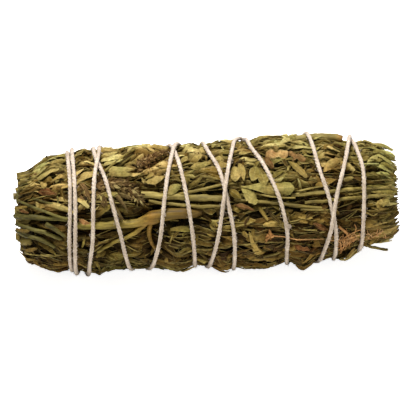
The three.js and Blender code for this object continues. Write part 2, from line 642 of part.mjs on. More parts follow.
function innerSprig(index) {
  const random = rng(5000 + index * 91);
  const middle = index < 0;
  const half = Math.PI / INNER_SPRIGS;
  const cell = middle
    ? { centre: 0, half: Math.PI, slant: 0, midR: 2, floorR: () => 0.2 }
    : { centre: 2 * half * (index + 0.5), half, slant: 0.25, midR: 7, floorR: () => MIDDLE_RADIUS + 0.5 };
  const rim = (u) => outside(u, 0) - OUTER_DEPTH - 0.75;
  const pieces = [];
  const from = -46 + random() * 2;
  const to = 41 + random() * 3;
  if (middle) {
    const pts = [];
    const rad = [];
    for (let k = 0; k <= 3; k++) {
      pts.push([lerp(from, to, k / 3), (random() - 0.5) * 0.3, AXIS_HEIGHT + (random() - 0.5) * 0.3]);
      rad.push(k === 0 || k === 3 ? MIDDLE_RADIUS * 0.7 : MIDDLE_RADIUS - 0.3 - random() * 0.3);
    }
    pieces.push(bar(pts, rad, 7));
    pieces.push(bar([[-50.6, 0.6, AXIS_HEIGHT + 0.5], [-44, 0.4, AXIS_HEIGHT + 0.3]], [1.5, 1.6], 8));
    for (let k = 0; k < 4; k++) {
      const ang = k * 1.571 + random();
      const yy = Math.cos(ang) * 2.0;
      const zz = Math.sin(ang) * 2.0;
      const tip = 48 + random() * 2.6;
      const w = 1.3 + random() * 0.5;
      const cy = -Math.sin(ang);
      const cz = Math.cos(ang);
      const p = (u, s) => [u, yy + cy * s, AXIS_HEIGHT + zz + cz * s];
      pieces.push(sheet([p(39, -w * 0.5), p(39, w * 0.5), p(44.5, -w), p(44.5, w), p(tip, 0)],
        [[0, 1, 2], [1, 3, 2], [2, 3, 4]], LEAF_THICKNESS));
    }
    return fuse(pieces);
  }
  pieces.push(heart(cell, from, to, random, () => MIDDLE_RADIUS + 0.5, rim, 30));
  const a = (random() - 0.5) * 0.8;
  const end = -50.8 + random() * 2.4;
  const fat = 0.8 + random() * 0.5;
  const rs = 5.9 + random() * 0.8;
  pieces.push(bar([end, -46, -42].map((u) => cellPlace(cell, u, a, rs)), [fat, fat, fat], 7));
  const ends = [];
  for (let k = 0; k < 3; k++) ends.push(1);
  for (let k = 0; k < 1; k++) ends.push(-1);
  ends.forEach((dir, k) => {
    const spot = 4.9 + random() * 3.4;
    for (let t = 0; t < 4; t++) {
      const m = leaf(cell, {
        u0: dir > 0 ? to - 3.5 : from + 3, a0: ((k % 4) / 3 - 0.5) * 1.3, turn: dir > 0
          ? (random() - 0.5) * 0.5 : Math.PI + (random() - 0.5) * 0.4,
        length: dir > 0 ? 50.6 - to + 2.6 - random() * 3 : 6.4 + random(), width: 1.5 + random() * 0.7,
        roll: (random() - 0.5) * 0.8, lift: (random() - 0.5) * 1.0, bulge: -OUTER_DEPTH - 0.7,
        low: () => spot,
      }, blockersAll);
      if (m) {
        pieces.push(m);
        break;
      }
    }
  });
  const body = fuse(pieces);
  blockersAll.push(body);
  return body;
}

// ---------------------------------------------------------------- string, stalks and flowers
function stringSolid(extra) {
  const ring = 6;
  const pts = STRING.map((p) => {
    const q = place(p.u, p.th, p.r);
    return q;
  });
  const r = STRING_DIAMETER / 2 + extra;
  return bar(pts, pts.map(() => r), ring);
}

function knot() {
  const a = STRING[0];
  const b = STRING[STRING.length - 1];
  const pa = new THREE.Vector3(...place(a.u, a.th, a.r));
  const pb = new THREE.Vector3(...place(b.u, b.th, b.r));
  const mid = pa.clone().add(pb).multiplyScalar(0.5);
  const out = new THREE.Vector3(0, mid.y, mid.z - AXIS_HEIGHT).normalize();
  const side = pb.clone().sub(pa).normalize();
  const fwd = new THREE.Vector3().crossVectors(out, side).normalize();
  const loop = [];
  const curve = (list) => list.map(([s, o, f]) => mid.clone().addScaledVector(side, s)
    .addScaledVector(out, o).addScaledVector(fwd, f).toArray());
  const gap = pa.distanceTo(pb) / 2;
  loop.push(curve([[-gap, 0, 0], [-0.5, 0.35, 0.1], [0.5, 0.7, 0], [0.9, 0.5, 0.9], [0.2, 0.5, 1.4],
    [-0.6, 0.7, 0.7], [-1.2, 0.8, -0.4], [-2.4, 0.7, -1.6], [-3.8, 0.5, -2.6]]));
  loop.push(curve([[gap, 0, 0], [0.4, 0.3, -0.1], [-0.6, 0.5, 0.1], [-0.8, 0.6, -0.8], [0.1, 0.8, -1.1],
    [0.9, 0.9, -0.2], [1.7, 0.7, 0.9], [2.6, 0.6, 2.3], [3.0, 0.5, 3.9]]));
  return loop.map((pts) => bar(pts, pts.map(() => STRING_DIAMETER / 2), 6));
}

function stalkSolid(name, extra) {
  return stalkRoutes[name].map((pts) => bar(pts.map((p) => place(p.u, p.th, p.r)),
    pts.map((p) => p.rad + extra), name.startsWith('forked') || name === 'top_stem' ? 8 : 6));
}

// small dried cups and bracts set round a flower stalk
function bracts(pts, random, count, length, width) {
  const out = [];
  for (let k = 0; k < count; k++) {
    const i = Math.min(pts.length - 1, Math.floor((k / count) * pts.length));
    const p = pts[i];
    const ang = (k % 4) * 1.05 - 1.6 + (random() - 0.5) * 0.4;
    const dir = random() < 0.5 ? 1 : -1;
    const room = 0.5;
    const q = (du, ds, dr) => place(p.u + du, p.th + ds / p.r, p.r + Math.min(dr, room));
    const s = Math.sin(ang);
    const c = Math.cos(ang) * 0.35;
    const w = width * (0.8 + random() * 0.4);
    const l = length * (0.8 + random() * 0.4);
    out.push(sheet([q(0, 0, 0), q(dir * l * 0.5 - w * s * 0.3, s * l * 0.5 - w * 0.5, c * l * 0.6),
      q(dir * l * 0.5 + w * s * 0.3, s * l * 0.5 + w * 0.5, c * l * 0.6), q(dir * l * 0.9, s * l * 0.9, c * l)],
      [[0, 1, 2], [1, 3, 2]], 0.6));
  }
  return out;
}

// ---------------------------------------------------------------- assembly
const materials = {
  leaf_green: [0x7c7440, 0.9], leaf_dry: [0x8a7a48, 0.9], leaf_inner: [0x5c5230, 0.95],
  stem: [0x8b7347, 0.85], stem_red: [0x6e3d22, 0.8], flower_brown: [0x5a3c2c, 0.95],
  flower_orange: [0xb06a24, 0.9], string: [0xeadcc6, 0.95],
};
const group = new THREE.Group();
group.name = 'sage_bunch';
const finished = [];
const add = (name, m, slot) => finished.push([name, m, slot]);
function addMesh(name, m, slot) {
  const mesh = m.getMesh();
  const geometry = new THREE.BufferGeometry();
  geometry.setAttribute('position', new THREE.BufferAttribute(new Float32Array(mesh.vertProperties), 3));
  geometry.setIndex(new THREE.BufferAttribute(new Uint32Array(mesh.triVerts), 1));
  geometry.computeVertexNormals();
  const [color, roughness] = materials[slot];
  const item = new THREE.Mesh(geometry, new THREE.MeshStandardMaterial({ color, roughness, name: slot }));
  item.name = name;
  group.add(item);
}

const fatString = stringSolid(0.16);
blockersAll.push(fatString);
const stalkBodies = {};
for (const name of Object.keys(stalkRoutes)) {
  const random = rng(9000 + name.length * 13);
  const parts = stalkSolid(name, 0);
  const pts = stalkRoutes[name][0];
  if (name === 'orange_calyx') {
    const tip = pts.slice(-1);
    parts.push(...bracts([...tip, ...tip, ...tip], random, 4, 2.4, 1.2));
  } else if (name === 'orange_flower') parts.push(...bracts(pts, random, 6, 2.8, 1.5));
  else if (SPIKES[name]) parts.push(...bracts(pts, random, 6, 2.4, 1.4));
  stalkBodies[name] = fuse(parts, 0.02);
  blockersAll.push(fuse([...stalkSolid(name, 0.14), ...parts], 0.02));
}

add('middle_sprig', innerSprig(-1), 'leaf_inner');
for (let i = 0; i < INNER_SPRIGS; i++) add(`inner_sprig_${i + 1}`, innerSprig(i), 'leaf_inner');
for (let i = 0; i < OUTER_SPRIGS; i++) add(`outer_sprig_${i + 1}`, outerSprig(i), i % 2 ? 'leaf_green' : 'leaf_dry');
for (const [name, body] of Object.entries(stalkBodies)) {
  let slot = 'stem';
  if (name === 'forked_stem' || name === 'top_stem') slot = 'stem_red';
  if (name.startsWith('flower')) slot = 'flower_brown';
  if (name.startsWith('orange')) slot = 'flower_orange';
  add(name, body, slot);
}
add('string', fuse([stringSolid(0), ...knot()], 0.02), 'string');

// the origin is the middle of the underside
const low = [0, 1, 2].map((c) => Math.min(...finished.map(([, m]) => m.boundingBox().min[c])));
const high = [0, 1, 2].map((c) => Math.max(...finished.map(([, m]) => m.boundingBox().max[c])));
const shift = [-(low[0] + high[0]) / 2, -(low[1] + high[1]) / 2, -low[2]];
for (const [name, m, slot] of finished) addMesh(name, m.translate(shift), slot);

export default group;
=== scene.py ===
"""Sage bunch: dried sprigs pressed into a roll and wound with cotton string, dressed for close views."""
import math
import random

import bmesh
import bpy
import numpy as np
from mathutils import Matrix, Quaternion, Vector, noise


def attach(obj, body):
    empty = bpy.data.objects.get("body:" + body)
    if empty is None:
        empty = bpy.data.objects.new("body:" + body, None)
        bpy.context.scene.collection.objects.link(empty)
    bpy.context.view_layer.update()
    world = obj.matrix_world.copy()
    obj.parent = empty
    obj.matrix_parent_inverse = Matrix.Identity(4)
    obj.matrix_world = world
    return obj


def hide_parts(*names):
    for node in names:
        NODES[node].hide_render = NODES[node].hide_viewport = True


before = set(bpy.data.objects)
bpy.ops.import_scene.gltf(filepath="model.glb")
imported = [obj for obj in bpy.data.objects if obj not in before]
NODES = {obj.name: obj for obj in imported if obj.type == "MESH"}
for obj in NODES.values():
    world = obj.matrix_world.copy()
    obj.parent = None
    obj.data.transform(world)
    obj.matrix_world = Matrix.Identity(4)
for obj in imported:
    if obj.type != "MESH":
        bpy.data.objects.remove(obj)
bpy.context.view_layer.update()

# ---------- sizes, in millimetres
MM = 0.001
# the bunch's middle line: its height over the table, and where its middle lies in the frame
AXIS_HEIGHT = 16.7
SHIFT_X = -0.0734
SHIFT_Y = 0.1844
# no leaf or stalk is placed lower over the table than this
LOWEST = 0.12
# the front is the side that faces this far up from the -Y side; the camera is rolled about its view
VIEW_TURN = math.radians(28)
CAMERA_ROLL = math.radians(3.0)
STRING_DIAMETER = 1.0
# the outer sprigs, the turn each takes, and how far they wind round on half the length
OUTER_SPRIGS = 13
SECTOR = 2 * math.pi / OUTER_SPRIGS
SWIRL = 0.16
# the two ends of the bunch, and how far leaves may pass them
LEFT_CUT = -50.3
RIGHT_END = 50.9
END_SLACK = 0.6
# radii at which a turn round the bunch is measured in mm: for leaves, for grooves, for the string
LEAF_ROUND = 15.0
GROOVE_ROUND = 15.5
STRING_ROUND = 16
NO_LIMIT = 1e3

# radius of the leafy outside: along the bunch, upper half, lower half
PROFILE = np.array([
    (-51.0, 9.6, 9.0), (-49.6, 10.9, 10.8), (-48.0, 11.2, 13.2), (-45.5, 12.3, 14.0),
    (-43.0, 13.2, 14.6), (-40.5, 14.6, 15.2), (-37.3, 15.0, 15.3), (-34.6, 15.2, 15.5),
    (-32.3, 16.2, 16.2), (-29.0, 15.8, 16.4), (-25.0, 15.4, 15.5), (-18.5, 15.7, 15.9),
    (-12.0, 15.6, 15.8), (-6.0, 15.4, 16.3), (-2.5, 15.7, 15.6), (2.0, 15.8, 16.9),
    (7.0, 15.8, 17.2), (12.0, 16.1, 17.1), (17.0, 16.2, 16.4), (20.0, 16.0, 16.2),
    (23.5, 16.3, 17.3), (27.0, 16.4, 16.6), (31.5, 16.2, 15.9), (35.5, 15.8, 15.9),
    (38.0, 14.9, 15.0), (40.8, 13.6, 13.3), (44.0, 13.4, 12.3), (47.0, 12.6, 12.1),
    (49.0, 10.8, 11.2), (51.0, 7.6, 8.0)])

# the string's passes down the front: place along the bunch at 90, 60 ... -90 degrees
STRING_PASSES = [
    (-36.0, -35.8, -35.5, -35.8, -36.4, -36.6, -36.3),
    (-34.7, -34.6, -34.3, -34.4, -34.9, -35.3, -35.1),
    (-29.0, -28.6, -26.2, -24.4, -22.7, -21.6, -20.6),
    (-8.8, -7.4, -5.9, -4.7, -3.9, -3.7, -3.8),
    (-0.1, 1.1, 4.1, 5.8, 7.0, 6.8, 6.4),
    (11.4, 12.6, 16.3, 19.5, 21.0, 20.6, 20.6),
    (27.2, 28.7, 30.1, 32.4, 33.8, 33.6, 33.0),
    (39.3, 40.5, 41.8, 41.7, 41.2, 40.6, 39.8),
    (38.9, 38.2, 36.8, 34.4, 32.6, 30.4, 28.7),
    (8.8, 7.7, 6.2, 4.6, 2.9, 0.9, -0.4),
    (-6.5, -8.0, -9.7, -11.1, -12.4, -14.2, -15.8),
    (-27.3, -27.6, -29.0, -29.7, -30.3, -31.5, -32.0)]
STRING_END = -38.6
# tufts of loose fibre on the string: along the bunch, degrees above the front, size
TUFTS = [(21.5, -24, 0.65), (-11.2, -8, 0.5)]

# single stalks: along the bunch, degrees above the front, depth of the centre line, radius
STALKS = {
    "forked_stem": [
        [(-34.2, -17, 1.9, 0.95), (-25, -18, 2.0, 1.05), (-18, -17, 1.9, 1.2), (-14.6, -12, 1.4, 1.75),
         (-9.2, -9, 1.9, 1.6), (-4.5, -9, 2.0, 1.4), (-0.4, -8.5, 3.0, 0.9)],
        [(-15.2, -14, 1.5, 0.8), (-18.5, -26, 1.6, 0.62), (-22, -34, 1.5, 0.55), (-30, -50, 1.5, 0.5)],
        [(-14.6, -14, 1.5, 0.7), (-15.4, -30, 1.6, 0.55), (-14.2, -48, 1.5, 0.5), (-11, -64, 1.5, 0.45)]],
    "straight_stem": [[(-17.0, 13.5, 1.45, 0.85), (-6, 8.5, 1.5, 0.9), (5.2, 4.0, 1.5, 0.8)]],
    "tan_stem": [[(-15, 6, 1.3, 0.4), (-10.8, 2.6, 1.2, 0.42), (-4.3, -1.2, 1.2, 0.45),
                  (4, -4, 1.2, 0.45)]],
    "thin_stem": [[(7.4, 3, 1.1, 0.42), (20, -4, 1.2, 0.45), (31.6, -12, 1.2, 0.42)]],
    "long_stem_upper": [[(22.6, 3.5, 1.2, 0.5), (36, 7, 1.2, 0.5), (43, 9, 1.2, 0.45),
                         (50.6, 9, 0.2, 0.4)]],
    "long_stem_lower": [[(26, -4.0, 1.1, 0.42), (36, -2.5, 1.1, 0.45), (42, -2, 1.1, 0.42),
                         (49.6, -1, 0.8, 0.38)]],
    "left_stem_upper": [[(-50.4, -4, 1.2, 0.75), (-42, -7, 1.3, 0.7), (-34.6, -10, 1.3, 0.6)]],
    "left_stem_middle": [[(-50.2, -18, 1.3, 0.55), (-43, -24, 1.2, 0.55), (-37.6, -34, 1.3, 0.5)]],
    "left_stem_lower": [[(-50.3, -29, 1.1, 0.6), (-44, -34, 1.2, 0.6), (-39.2, -46, 1.3, 0.5)]],
    "slanted_stem": [[(-26, 37, 1.2, 0.55), (-22, 54, 1.2, 0.5), (-18.2, 71, 1.0, 0.45)]],
    "top_stem": [[(24.6, 79, 0.2, 0.8), (31.5, 81, -0.15, 1.0), (36.8, 82, 0.0, 1.0)]],
    "stray_stem": [[(37.6, -75, 1.6, 0.35), (40.6, -79, 0.6, 0.36), (43.4, -80, -1.5, 0.38),
                    (47.4, -79, -2.9, 0.32)]]}
# thin stalks that lie loose on the outside, in the same way
FINE_STALKS = [
    [(-49.8, 17, 0.5, 0.22), (-49.4, 34, 0.2, 0.22), (-48.2, 45, 0.0, 0.24), (-46.4, 43, 0.0, 0.24),
     (-43.4, 38, 0.2, 0.22)],
    [(-45.6, 18, 0.3, 0.28), (-42.9, 12, 0.1, 0.28), (-40.3, 8, 0.1, 0.26), (-38.9, 9, 0.0, 0.24),
     (-39.0, 16, 0.2, 0.22)],
    [(-41.5, 10, 0.4, 0.28), (-38.5, 4, 0.3, 0.26), (-36.1, 0, 0.6, 0.24)],
    [(-49.8, 20, 0.6, 0.34), (-46.0, 8, 0.4, 0.36), (-41.5, -1, 0.3, 0.38), (-36.6, -9, 0.7, 0.34)],
    [(-42.4, -13, 0.5, 0.62), (-39.6, -20, 0.6, 0.58), (-36.4, -31, 0.9, 0.5)],
    [(-48.6, 62, 0.4, 0.24), (-47.6, 55, 0.1, 0.26), (-45.8, 52, 0.2, 0.22)],
    [(24.6, 7.5, 0.4, 0.26), (28.2, 9.6, 0.3, 0.26), (32.4, 11.8, 0.6, 0.22)],
    [(24.8, -10, 0.5, 0.26), (28.6, -11.4, 0.4, 0.26), (32.2, -12.6, 0.6, 0.22)],
    [(12.6, 8, 0.6, 0.2), (18.0, 3, 0.4, 0.24), (23.6, 1, 0.6, 0.2)],
    [(-6.6, 33, 0.5, 0.24), (-1.0, 30, 0.3, 0.26), (4.4, 31, 0.6, 0.22)],
    [(-26.8, 37, -0.3, 0.34), (-22.2, 54, -0.5, 0.36), (-18.2, 71, -0.4, 0.30)],
    [(-7.0, 11.5, 1.0, 0.34), (-4.1, 12.6, 0.6, 0.40), (4.2, 17.4, 0.5, 0.38), (8.4, 18.6, 1.0, 0.3)]]
# the stalks of the flowers, in the same way
SPIKES = {
    "flower_spike_curved": [(-28.6, 23, 1.0, 0.45), (-25.5, 25, 1.0, 0.45), (-21.8, 22.5, 1.0, 0.45),
                            (-19.2, 15, 1.0, 0.4), (-17.0, 7, 1.0, 0.3)],
    "flower_spike_straight": [(-17.6, 43, 0.9, 0.4), (-13.2, 56, 0.9, 0.4), (-9.6, 66, 0.9, 0.35)],
    "orange_flower": [(34.6, -31, 0.8, 0.5), (36.6, -41, 0.8, 0.5), (37.4, -52, 0.8, 0.45)],
    "orange_calyx": [(30.5, -43.5, 0.6, 0.2), (26, -40.5, 0.5, 0.22), (21, -37.5, 0.4, 0.26),
                     (16.6, -34.5, 0.4, 0.34)]}
# leaves that lie open on top, from stalk to tip: along the bunch and degrees above the front at
# each end, half width, shape, tone, age
OPEN_LEAVES = [
    (8.1, 36, 8.0, 19, 1.45, "oval", 0.76, 0.0), (9.2, 39, 10.3, 19, 0.85, "lance", 0.67, 0.0),
    (13.8, 35, 12.4, 19, 1.4, "oval", 0.72, 0.0), (14.9, 31, 15.9, 14, 1.4, "oval", 0.69, 0.0),
    (9.4, 14, 23.4, 9.5, 2.1, "spade", 0.72, 0.0), (9.5, 14, 13.4, -2, 1.7, "toothed", 0.76, 0.05),
    (6.3, 12, 9.3, 3, 0.9, "lance", 0.52, 0.0), (22.2, 38, 26.9, 19, 0.95, "toothed", 0.62, 0.0),
    (-34.3, 31, -27.9, 38.5, 1.15, "broken", 0.81, 0.0), (-27.3, 55, -21.3, 60, 1.15, "lance", 0.95, 0.0),
    (-27.6, 67, -22.4, 69, 1.0, "lance", 0.82, 0.0), (-26.6, 49, -21.3, 52, 0.8, "lance", 0.84, 0.0),
    (-26.2, 43, -18.5, 38, 0.9, "lance", 0.79, 0.0),
    (-25.4, 37, -18.9, 32, 0.8, "lance", 0.70, 0.0), (-15.6, 24, -10.4, 30, 1.2, "lance", 0.76, 0.0),
    (-11.0, 13, -6.2, 19.5, 1.2, "lance", 0.72, 0.0), (-16.0, 26, -13.4, 33, 0.8, "spoon", 0.63, 0.0),
    (-44.6, 44, -38.2, 46, 1.05, "lance", 0.79, 0.0), (-43.6, 39, -41.9, 27, 0.9, "spoon", 0.74, 0.0),
    (-40.6, 32, -37.2, 38, 0.9, "spoon", 0.69, 0.0), (31.4, 25, 36.6, 42, 1.0, "lance", 0.74, 0.05),
    (42.3, 34, 45.9, 50, 0.95, "spoon", 0.81, 0.1), (42.2, -64, 49.6, -53, 1.3, "toothed", 0.74, 0.0),
    (41.2, 69, 48.9, 61, 0.5, "lance", 0.72, 0.0), (45.2, 54, 49.6, 46, 0.85, "toothed", 0.78, 0.0),
    (45.0, 39, 50.0, 30, 1.1, "toothed", 0.80, 0.0),
    (3.0, 42, 7.0, 36, 1.0, "lance", 0.67, 0.0), (-3.6, 38, 2.0, 44, 1.1, "lance", 0.72, 0.0),
    (-8.2, 44, -4.2, 52, 1.0, "spoon", 0.69, 0.0), (29.0, 12, 34.5, 17, 0.9, "lance", 0.58, 0.0)]
DEAD_LEAVES = [
    (16.4, 50, 22.3, 47, 1.45, "broken", 0.74, 0.0), (16.0, 46, 18.4, 31, 0.9, "lance", 0.36, 0.2),
    (21.8, 50, 26.8, 37, 1.0, "toothed", 0.50, 0.1), (25.0, 47, 23.4, 36, 0.6, "lance", 0.42, 0.1),
    (-44.2, 26, -39.2, 17, 1.0, "lance", 0.14, 0.35), (-33.6, -9, -30.8, -13, 0.6, "lance", 0.55, 0.0),
    (7.5, -3, 12.5, -8, 0.6, "lance", 0.34, 0.3), (28.0, -24, 31.8, -33, 0.65, "lance", 0.24, 0.3),
    (22.4, -47, 26.6, -51, 0.7, "lance", 0.34, 0.3), (-47.0, 63, -44.2, 54, 0.6, "lance", 0.45, 0.0),
    (-49.4, 6, -46.8, 0, 0.5, "lance", 0.30, 0.2)]


# ---------- places on the bunch
def outside(u, th):
    """Radius of the leafy outside at u along the bunch and world angle th."""
    up = 0.5 + 0.5 * np.sin(th - VIEW_TURN)
    high = np.interp(u, PROFILE[:, 0], PROFILE[:, 1])
    low = np.interp(u, PROFILE[:, 0], PROFILE[:, 2])
    return low + (high - low) * up


def place(u, th, r):
    """World place, in metres, of a point at u along the bunch, angle th and radius r."""
    y = -r * np.cos(th) + SHIFT_Y
    z = np.maximum(AXIS_HEIGHT + r * np.sin(th), LOWEST)
    return np.stack(np.broadcast_arrays(u + SHIFT_X, y, z), -1) * MM


def front(deg):
    """World angle of a place deg degrees above the front."""
    return np.radians(deg) + VIEW_TURN


def between(a, b):
    """Smallest turn from angle b to angle a."""
    return (a - b + math.pi) % (2 * math.pi) - math.pi


def way(u0, deg0, u1, deg1):
    """Heading and length of the line from one place to another (along the bunch, degrees)."""
    run = u1 - u0
    rise = math.radians(deg1 - deg0) * LEAF_ROUND
    return math.atan2(rise, run), math.hypot(run, rise)


def curve_at(p0, p1, p2, p3, t):
    """Value at t from p1 to p2 on a smooth curve through four values (Catmull-Rom)."""
    return 0.5 * (2 * p1 + (p2 - p0) * t + (2 * p0 - 5 * p1 + 4 * p2 - p3) * t * t
                  + (3 * p1 - p0 - 3 * p2 + p3) * t ** 3)


def smooth_route(rows, step):
    """Points about step mm apart on a smooth curve through the rows."""
    rows = [np.array(row, float) for row in rows]
    last = len(rows) - 1
    out = []
    for i in range(last):
        four = [rows[min(max(k, 0), last)] for k in range(i - 1, i + 3)]
        length = way(*four[1][:2], *four[2][:2])[1]
        count = max(1, round(length / step))
        out += [curve_at(*four, k / count) for k in range(count)]
    return np.array(out + [rows[-1]])


def floor_radius(th, half):
    """Longest radius at th for a thing of half height half that lies on the table."""
    down = -np.sin(th)
    least = 0.2
    return np.where(down > least, (AXIS_HEIGHT - half) / np.maximum(down, least), NO_LIMIT)


def stalk_route(rows, step):
    """Place along the bunch, angle, radius and thickness along one stalk."""
    pts = smooth_route(rows, step)
    th = front(pts[:, 1])
    r = np.minimum(outside(pts[:, 0], th) - pts[:, 2], floor_radius(th, pts[:, 3] + 0.1))
    return pts[:, 0], th, r, pts[:, 3]


# ---------- the string's route
KEY_STEP = 30      # degrees between two given places of the string
PER_TURN = 96      # points on one turn
SINK = 0.1         # how far the string presses into the leaves
CREST = 1.4        # the string stays level over a stalk for this far to each side,
FALL = 0.55        # and then comes down at this slope
CROSSING = 2.6     # one turn climbs over another from this far,
ON_TOP = 0.8       # lies on it from this far,
CLIMB = 0.98       # and is lifted by this much
SMOOTHING = 10     # rounds that even out the climbs
END_GAP = 1.6      # how far apart along the bunch the string's two ends are
LAST_PACE = 1.6    # how much faster the last turn moves along, to its end


def string_keys():
    """Angle in degrees and place along the bunch at each step of the string, from end to end."""
    keys = []
    for turn, row in enumerate(STRING_PASSES):
        keys += [(90 - KEY_STEP * k - 360 * turn, u) for k, u in enumerate(row)]
        last = turn == len(STRING_PASSES) - 1
        goal = STRING_END if last else STRING_PASSES[turn + 1][0]
        for k in range(1, 3 if last else 6):
            share = k / 6 * (LAST_PACE if last else 1)
            keys.append((-90 - KEY_STEP * k - 360 * turn, row[6] + (goal - row[6]) * share))
    first = keys[0][1]
    start = [(90 + KEY_STEP * k, first + (STRING_END + END_GAP - first) * k / 3) for k in (3, 2, 1)]
    return np.array(start + keys, float)


def string_route():
    """Place along the bunch, angle and radius of one string from end to end."""
    angles, along = string_keys().T
    total = angles[0] - angles[-1]
    count = int(round(total / 360 * PER_TURN))
    deg = angles[0] - total * np.arange(count + 1) / count
    top = len(along) - 1
    i = np.clip(((angles[0] - deg) / KEY_STEP).astype(int), 0, top - 1)
    t = (angles[i] - deg) / KEY_STEP
    u = curve_at(along[np.maximum(i - 1, 0)], along[i], along[i + 1], along[np.minimum(i + 2, top)], t)
    th = front(deg)
    base = outside(u, th) + STRING_DIAMETER / 2 - SINK
    # the string crosses the thin end of the top stalk and passes beside its cut end
    under = [rows for name, routes in STALKS.items() if name != "top_stem" for rows in routes]
    under += [STALKS["top_stem"][0][:2]] + list(SPIKES.values())
    for rows in under:
        su, sth, sr, thick = stalk_route(rows, 1.6)
        d = np.hypot(u[:, None] - su, between(th[:, None], sth) * STRING_ROUND)
        over = sr + thick + STRING_DIAMETER / 2 + 0.05 - np.maximum(0, d - CREST) * FALL
        base = np.maximum(base, np.where(d < 5, over, 0).max(1))
    lift = np.zeros(count + 1)
    half_turn = PER_TURN // 2
    for k in range(half_turn, count + 1):
        j = slice(0, k - half_turn + 1)
        d = np.hypot(u[k] - u[j], between(th[k], th[j]) * STRING_ROUND)
        rise = lift[j] + CLIMB * np.clip((CROSSING - d) / (CROSSING - ON_TOP), 0, 1)
        lift[k] = np.where(d < CROSSING, rise, 0).max()
    for _ in range(SMOOTHING):
        lift[1:-1] = np.maximum(lift[1:-1], (lift[:-2] + lift[2:]) / 2)
        base[1:-1] = 0.5 * base[1:-1] + 0.25 * (base[:-2] + base[2:])
    return u, th, np.minimum(base + lift, floor_radius(th, 0.46))


STRING = string_route()


# ---------- how far out the leaves may reach
MAP_U = np.linspace(-52, 52, 261)
MAP_TH = np.linspace(-math.pi, math.pi, 217)
# where the leaves swell out between the strings along the lower edge: along the bunch, height
LOW_BULGES = [(-6.4, 0.5), (2.2, 0.5), (24.4, 0.9), (36.4, 1.5)]
BULGE_WIDTH = 2.6
GROOVE_REACH = 6
# leaves lie flatter from here to the cut end, most of all on top
FLATTER_FROM = -41.5


def press(limit, us, ths, radii, widths, slope):
    """Lowers a map of radii in a groove along a line: flat for its width, then rising at the slope."""
    for u, th, r, width in zip(us, ths, radii, widths):
        near = np.abs(MAP_U - u) < GROOVE_REACH
        d = np.hypot(MAP_U[near][:, None] - u, between(MAP_TH, th) * GROOVE_ROUND)
        limit[near] = np.minimum(limit[near], r + np.maximum(0, d - width) * slope)


def leaf_maps():
    """Two maps of the greatest leaf radius: under the string alone, and under everything on top."""
    grid_u, grid_th = np.meshgrid(MAP_U, MAP_TH, indexing="ij")
    high = 0.5 + 0.5 * np.sin(grid_th - VIEW_TURN)
    flatter = (0.4 + 1.1 * high) * np.clip((FLATTER_FROM - grid_u) / 5, 0, 1)
    shell = outside(grid_u, grid_th) - flatter
    low = np.clip(-np.sin(grid_th - VIEW_TURN) - 0.6, 0, 0.3) / 0.3
    bulge = sum(rise * np.exp(-((grid_u - u) / BULGE_WIDTH) ** 2) for u, rise in LOW_BULGES) * low
    swell = np.zeros_like(shell)
    for i, u in enumerate(MAP_U):
        for j in range(0, len(MAP_TH), 4):
            spot = Vector((u * 0.16, math.cos(MAP_TH[j]) * 2.6, math.sin(MAP_TH[j]) * 2.6))
            swell[i, j:j + 4] = 0.85 + 0.9 * noise.noise(spot)
    su, sth, sr = [column[::4] for column in STRING]
    under_string = sr - STRING_DIAMETER / 2 - 0.06
    bound = shell + 0.75
    full = shell + np.clip(swell, 0.2, 1.6)
    for chart in (bound, full):
        press(chart, su, sth, under_string, np.full(len(su), 0.75), 0.42)
        chart += bulge
    for name, routes in STALKS.items():
        open_to = None if name == "top_stem" else -3
        for rows in routes:
            u, th, r, thick = [column[:open_to] for column in stalk_route(rows, 1.3)]
            press(full, u, th, r - thick * 0.6, thick + 0.35, 0.9)
    for rows in SPIKES.values():
        u, th, r, thick = stalk_route(rows, 1.3)
        press(full, u, th, r - thick * 0.4, thick + 0.8, 0.8)
    for u0, deg0, u1, deg1, half, *_ in OPEN_LEAVES + DEAD_LEAVES:
        u = np.linspace(u0, u1, 7)[1:]
        th = front(np.linspace(deg0, deg1, 7)[1:])
        press(full, u, th, outside(u, th) - 0.5, np.full(6, half * 0.8), 1.7)
    return bound, full


BOUND, REACH = leaf_maps()


def grid_place(value, axis):
    """Cell of each value on an evenly spaced axis, and how far across the cell it lies."""
    at = np.clip((value - axis[0]) / (axis[1] - axis[0]), 0, len(axis) - 1.001)
    cell = at.astype(int)
    return cell, at - cell


def reach(u, th, chart=REACH):
    """Greatest leaf radius at each u and th, read from a map between its grid points."""
    iu, a = grid_place(u, MAP_U)
    it, b = grid_place(between(th, 0.0), MAP_TH)
    near = chart[iu, it] * (1 - a) * (1 - b) + chart[iu + 1, it] * a * (1 - b)
    return near + chart[iu, it + 1] * (1 - a) * b + chart[iu + 1, it + 1] * a * b


# ---------- making pieces
def new_object(name, data):
    item = bpy.data.objects.new(name, data)
    bpy.context.scene.collection.objects.link(item)
    return item


def add_piece(name, mesh, material, nodes=()):
    mesh.materials.clear()
    mesh.materials.append(material)
    piece = new_object(name, mesh)
    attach(piece, "root")
    if nodes:
        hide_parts(*nodes)
    return piece


def round_tip(t, start, power, full=1.0):
    """Falls from full width at start to nothing at a leaf's tip, in a round curve."""
    return np.sqrt(np.clip(full - np.clip((t - start) / (1 - start), 0, 1) ** power, 0, 1))


